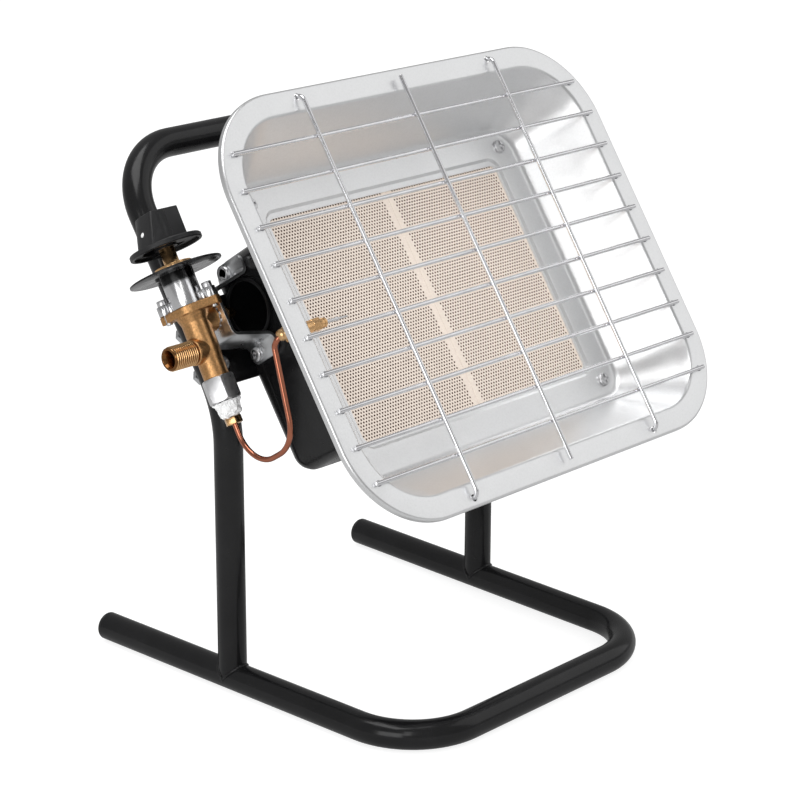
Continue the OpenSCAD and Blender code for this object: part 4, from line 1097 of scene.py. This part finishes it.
class HeaterValve(bpy.types.Operator):
    """Casts the valve's body, cuts the inlet's thread, and finishes bonnet and screws"""
    bl_idname = "heater.valve"
    bl_label = "Gas valve"

    def execute(self, context):
        sizes = context.scene.heater_valve
        brass = turned_brass()
        body = solid_copy("valve_body", "valve_body_cast")
        cut_at = VALVE @ Vector((-INLET_ROOT - 0.4 * MM, 0, INLET_AT))
        bpy.ops.mesh.bisect(plane_co=cut_at, plane_no=(-1, 0, 0), clear_outer=True, use_fill=True)
        leave_edit()
        apply_modifier(body, "REMESH", mode="VOXEL", voxel_size=0.3 * MM)
        apply_modifier(body, "SMOOTH", factor=0.5, iterations=7)
        smooth(body, 70)
        casting = cast_metal("body_brass", sizes.cast_brass)
        settle(body, casting, body_of("valve_body"), "valve_body")

        pitch, end = sizes.thread_pitch, INLET_THREAD
        count = int(end / pitch * 10)
        thread = lathed("inlet_thread", [
            (0, -1 * MM), *((INLET_RADIUS, end * k / count) for k in range(count)),
            (INLET_RADIUS - 0.9 * MM, end), (4.9 * MM, end), (4.6 * MM, end - 0.3 * MM),
            (2.6 * MM, end - 5 * MM), (2.6 * MM, end - 12 * MM), (0, end - 12 * MM)], 80)
        for corner in thread.data.vertices:
            x, y, z = corner.co
            if math.hypot(x, y) < INLET_RADIUS - 0.1 * MM:
                continue
            phase = (z / pitch + math.atan2(y, x) / (2 * math.pi)) % 1
            dip = min(1, 1.25 * (1 - abs(2 * phase - 1))) * THREAD_DEPTH
            chamfer = max(0, z - end + 0.9 * MM)
            neck = THREAD_DEPTH if z < 0.9 * MM else 0
            share = 1 - max(dip, chamfer, neck) / INLET_RADIUS
            corner.co = (x * share, y * share, z)
        smooth(thread, 30)
        put_in_place(thread, VALVE @ Matrix.Translation((-INLET_ROOT, 0, INLET_AT))
                     @ Matrix.Rotation(-math.pi / 2, 4, "Y"))
        settle(thread, brass_with_painted_groove_shade(sizes.turned_brass), body_of("valve_body"))

        softened("valve_bonnet", bonnet_with_painted_reflection(), 0.25 * MM)
        softened("bonnet_screws", steel_screw(), 0.15 * MM)
        paint_node("valve_plug", brass)
        return {"FINISHED"}


SHIELD = (25.4 * MM, 1 * MM, 28.3 * MM)


class HeaterStem(bpy.types.Operator):
    """Makes the round heat shield, and finishes the stem, its collar and its spring"""
    bl_idname = "heater.stem"
    bl_label = "Stem and shield"

    def execute(self, context):
        brass = turned_brass()
        softened("stem_collar", brass, 0.2 * MM)
        softened("valve_stem", brass, 0.2 * MM)
        paint_node("stem_spring", steel_screw())
        radius, thick, level = SHIELD
        shield = primitive("cylinder", "heat_shield_round", vertices=160, radius=radius,
                           depth=thick, location=(0, 0, level))
        hole = primitive("cylinder", "hole", vertices=48, radius=5.5 * MM, depth=8 * MM,
                         location=(0, 0, level))
        carve(shield, hole)
        bevel_edges(shield, 0.2 * MM)
        put_in_place(shield, VALVE)
        smooth(shield, 35)
        enamel = gloss_paint("shield_enamel", (0.01, 0.01, 0.0105), 0.12, 0.2, 0.000004)
        settle(shield, enamel, body_of("heat_shield_disc"), "heat_shield_disc")
        return {"FINISHED"}


# Half-round outline of the grip at its foot and at its top: left, right, front, start of the
# round and depth of the round, with the height along the stem
GRIP_FOOT = (-12.8, 13.4, -5.4, 4, 12, 43)
GRIP_TOP = (-5.8, 13.4, -5.4, 3, 13, 62)


def grip_outline(left, right, front, start, depth, height, inside=0):
    """A flat front with cut corners and a round back, drawn in by the wall."""
    left, right, front, depth = left + inside, right - inside, front + inside, depth - inside
    middle, half = (left + right) / 2, (right - left) / 2
    points = [(right, front + 0.8), (right - 0.8, front), (left + 0.9, front), (left, front + 1.1)]
    for k in range(25):
        turn = math.pi * (1 - k / 24)
        points.append((middle + half * math.cos(turn), start + depth * math.sin(turn)))
    return [(x * MM, y * MM, height * MM) for x, y in points]


def grip_solid(name, inside, low, high):
    """The grip between two heights, drawn in by the wall."""
    rings = []
    for height in (low, high):
        share = (height - GRIP_FOOT[5]) / (GRIP_TOP[5] - GRIP_FOOT[5])
        sizes = [a + (b - a) * share for a, b in zip(GRIP_FOOT[:5], GRIP_TOP[:5])]
        rings.append(grip_outline(*sizes, height, inside))
    count = len(rings[0])
    piece = primitive("circle", name, vertices=count, radius=0.01, fill_type="NGON")
    for corner, goal in zip(piece.data.vertices, rings[0]):
        corner.co = goal
    edit(piece)
    take_all()
    extrude((0, 0, 0))
    mesh = bmesh.from_edit_mesh(piece.data)
    top = [v for v in mesh.verts if v.select]
    for corner in top:
        nearest = min(range(count), key=lambda k: (Vector(rings[0][k]) - corner.co).length)
        corner.co = rings[1][nearest]
    bmesh.update_edit_mesh(piece.data)
    close_outward()
    return piece


class HeaterKnob(bpy.types.Operator):
    """Moulds the knob: its skirt, its hollow half-round grip and its dot"""
    bl_idname = "heater.knob"
    bl_label = "Knob"

    def execute(self, context):
        skirt = lathed("skirt", in_mm(
            (0, 42.6), (18, 42.6), (18, 41), (19.5, 41), (19.9, 41.4), (19.9, 43.3), (19.4, 43.9),
            (17, 44.2), (0, 44.2)), 96)
        grip = grip_solid("control_knob_moulded", 0, 43, 62)
        bevel_edges(grip, 0.5 * MM, 3, 28)
        hollow = grip_solid("hollow", 2, 40, 60)
        carve(grip, skirt, "UNION")
        carve(grip, hollow)
        hub = lathed("hub", in_mm((4.2, 41.6), (6.2, 41.6), (6.2, 61), (4.2, 61)), 40, closed=True)
        knob = join("control_knob_moulded", [grip, hub])
        put_in_place(knob, VALVE)
        smooth(knob, 30)
        plastic = grained_plastic("knob_plastic", context.scene.heater_valve.knob)
        settle(knob, plastic, body_of("control_knob"), "control_knob")

        dot = primitive("uv_sphere", "knob_dot", segments=28, ring_count=14, radius=1.3 * MM)
        dot.scale = (0.16, 1, 1)
        dot.location = Vector((-9.65, 2.6, 52)) * MM
        dot.rotation_euler = (0, math.radians(22), 0)
        put_in_place(dot, VALVE)
        smooth(dot, 60)
        settle(dot, grained_plastic("dot_paint", (0.85, 0.85, 0.85)), body_of("knob_indicator"),
               "knob_indicator")
        return {"FINISHED"}


class HeaterThermocouple(bpy.types.Operator):
    """Makes the magnet unit, its crumpled sealing tape, the copper lead and the probe"""
    bl_idname = "heater.thermocouple"
    bl_label = "Thermocouple"

    def execute(self, context):
        sizes = context.scene.heater_valve
        brass = turned_brass()
        softened("magnet_housing", steel_screw(), 0.3 * MM)
        softened("thermocouple_nut", brass, 0.2 * MM)
        along = HEAD @ Matrix.Translation(PROBE_AT) @ Matrix.Rotation(math.pi / 2, 4, "Y")
        hexes = []
        for low, high, flats in ((-104.6, -98.6, 6.4), (-121.4, -117, 8.4)):
            corner = flats / 2 / math.cos(math.pi / 6)
            hexes.append(lathed("hex", in_mm(
                (0, low), (corner - 0.3, low), (corner, low + 0.3), (corner, high - 0.3),
                (corner - 0.3, high), (0, high)), 6))
        neck = lathed("neck", in_mm(
            (0, -127.2), (1.6, -127.2), (2.6, -126.6), (3.2, -125.4), (3.3, -124), (2.9, -122.7),
            (2.9, -117), (3.2, -117), (3.2, -104), (2.3, -103), (2.3, -96.2), (2.6, -96),
            (2.6, -94.8), (1.9, -93.9), (0, -93.9)), 48)
        fitting = join("thermocouple_fitting_turned", [neck, *hexes])
        put_in_place(fitting, along)
        smooth(fitting, 30)
        settle(fitting, brass, body_of("thermocouple_fitting"), "thermocouple_fitting")
        probe = lathed("thermocouple_probe_turned", in_mm(
            (0, -94.4), (1, -94.4), (1, -86.6), (1.25, -86.4), (1.25, -85.4), (0.7, -85),
            (0.55, -78.6), (0.3, -78), (0, -78)), 32)
        put_in_place(probe, along)
        smooth(probe, 30)
        settle(probe, steel_screw(), body_of("thermocouple_probe"), "thermocouple_probe")

        tape = lathed("sealing_tape", in_mm(
            (0, -43.9), (7.9, -43.4), (8.1, -44.6), (7, -46.6), (6.5, -48.5), (6.9, -51.2),
            (5.2, -53), (0, -53)), 32)
        apply_modifier(tape, "SUBSURF", levels=3, render_levels=3)
        for name, size, depth in (("creases", 0.0048, 2.0), ("folds", 0.0021, 0.8)):
            clouds = bpy.data.textures.new(name, "CLOUDS")
            clouds.noise_scale = size
            clouds.noise_type = "HARD_NOISE"
            apply_modifier(tape, "DISPLACE", texture=clouds, strength=depth * MM, mid_level=0.5,
                           texture_coords="LOCAL")
        smooth(tape, 25)
        put_in_place(tape, VALVE)
        settle(tape, fibre_tape("sealing_tape", (0.95, 0.955, 0.955)), body_of("sealing_wrap"),
               "sealing_wrap")

        to_head = HEAD.inverted() @ VALVE
        line = [to_head @ Vector((0, 0, -55 * MM)), to_head @ Vector((0, 0, -82 * MM)),
                *(Vector(p) * MM for p in ((-127, -52, -49), (-127, -3, -33.2), (-127, 0.5, -26.8),
                                           (-119, 0.5, -26.8)))]
        lead = bent_bar("thermocouple_lead_bent", line, [0, 19 * MM, 19 * MM, 4 * MM, 4 * MM, 0],
                        1.5 * MM, 28, 18)
        put_in_place(lead, HEAD)
        smooth(lead)
        copper = bright_metal("drawn_copper", sizes.copper, 0.1, 0.18, 0.006, 0.000002, 0.001)
        settle(lead, copper, body_of("thermocouple_lead"), "thermocouple_lead")
        return {"FINISHED"}


CAMERA_AT = Vector((-946.84, -898.95, 582.11)) * MM
CAMERA_TURN, CAMERA_RISE, CAMERA_ROLL = (math.radians(a) for a in (-46.74, 18.28, 0.21))
LAMPS_AIM = Vector((0, -0.02, 0.17))


class HeaterStage(bpy.types.Operator):
    """Sets the floor, the backdrop, the soft lights and the camera"""
    bl_idname = "heater.stage"
    bl_label = "Stage"

    def execute(self, context):
        sizes = context.scene.heater_stage
        floor = primitive("grid", "studio_floor", x_subdivisions=4, y_subdivisions=4, size=12)
        floor.data.materials.append(floor_finish(sizes.floor))

        world = bpy.data.worlds.new("studio")
        world.use_nodes = True
        tree = world.node_tree
        back = tree.nodes["Background"]
        path = node(tree, "LightPath")
        lit = maths(tree, "MAXIMUM", plainly_seen(tree, path),
                    by_reflection(tree, path, 0.72, 0.32))
        back.inputs["Color"].default_value = (1, 1, 1, 1)
        tree.links.new(lit, back.inputs["Strength"])
        context.scene.world = world

        for name, at, power, width, height in (
                ("overhead", Vector((-0.3, 0.05, 1.5)), sizes.key_power, 1.0, 1.0),
                ("side", Vector((-1.5, -0.5, 0.46)), 1.2 * sizes.fill_power, 0.8, 0.8),
                ("strip", Vector((-1.25, -1.0, 0.98)), 0.4 * sizes.fill_power, 0.2, 0.9),
                ("front", Vector((1.15, -0.85, 1.05)), 1.15 * sizes.fill_power, 1.6, 1.6)):
            lamp = bpy.data.lights.new(name, "AREA")
            lamp.shape = "RECTANGLE"
            lamp.size, lamp.size_y = width, height
            lamp.energy = power
            holder = bpy.data.objects.new(name, lamp)
            holder.location = at
            holder.rotation_euler = (LAMPS_AIM - at).to_track_quat("-Z", "Y").to_euler()
            context.scene.collection.objects.link(holder)

        turn, rise, roll = CAMERA_TURN, CAMERA_RISE, CAMERA_ROLL
        back_way = Vector((math.sin(turn) * math.cos(rise), -math.cos(turn) * math.cos(rise),
                           math.sin(rise)))
        right = Vector((math.cos(turn), math.sin(turn), 0))
        up = back_way.cross(right)
        level = right * math.cos(roll) + up * math.sin(roll)
        upright = up * math.cos(roll) - right * math.sin(roll)
        lens = bpy.data.cameras.new("camera")
        lens.lens = sizes.lens
        lens.sensor_width = 36
        lens.sensor_fit = "HORIZONTAL"
        lens.clip_start, lens.clip_end = 0.05, 50
        camera = bpy.data.objects.new("camera", lens)
        camera.matrix_world = Matrix.Translation(CAMERA_AT) @ Matrix(
            (level, upright, back_way)).transposed().to_4x4()
        context.scene.collection.objects.link(camera)
        context.scene.camera = camera
        context.scene.view_settings.view_transform = "Standard"
        return {"FINISHED"}


class HeaterPanel(bpy.types.Panel):
    """Lists the heater's settings and the operators that build it"""
    bl_idname = "VIEW3D_PT_heater"
    bl_label = "Heater"
    bl_space_type = "VIEW_3D"
    bl_region_type = "UI"
    bl_category = "Heater"

    def draw(self, context):
        for group, title in SETTINGS:
            box = self.layout.box()
            box.label(text=title)
            values = getattr(context.scene, group)
            for key in values.__annotations__:
                box.prop(values, key)
        for operator in OPERATORS:
            self.layout.operator(operator.bl_idname)


SETTINGS = (("heater_stand", "Stand"), ("heater_reflector", "Reflector"),
            ("heater_guard", "Wire guard"), ("heater_burner", "Burner"),
            ("heater_valve", "Gas valve"), ("heater_stage", "Stage"))
GROUPS = (StandSettings, ReflectorSettings, GuardSettings, BurnerSettings, ValveSettings,
          StageSettings)
OPERATORS = (HeaterStage, HeaterStand, HeaterPlate, HeaterReflector, HeaterGuard, HeaterPlaques,
             HeaterHousing, HeaterBracket, HeaterValve, HeaterStem, HeaterKnob,
             HeaterThermocouple)


def register():
    """Registers the classes and puts the settings on the scene."""
    for made in (*GROUPS, *OPERATORS, HeaterPanel):
        bpy.utils.register_class(made)
    for (group, _title), made in zip(SETTINGS, GROUPS):
        setattr(bpy.types.Scene, group, bpy.props.PointerProperty(type=made))


def unregister():
    """Takes the settings off the scene and removes the classes."""
    for group, _title in SETTINGS:
        delattr(bpy.types.Scene, group)
    for made in reversed((*GROUPS, *OPERATORS, HeaterPanel)):
        bpy.utils.unregister_class(made)


def main():
    """Builds the whole heater."""
    register()
    for operator in OPERATORS:
        family, name = operator.bl_idname.split(".")
        getattr(getattr(bpy.ops, family), name)()
    bpy.ops.object.select_all(action="DESELECT")


if __name__ == "__main__":
    main()
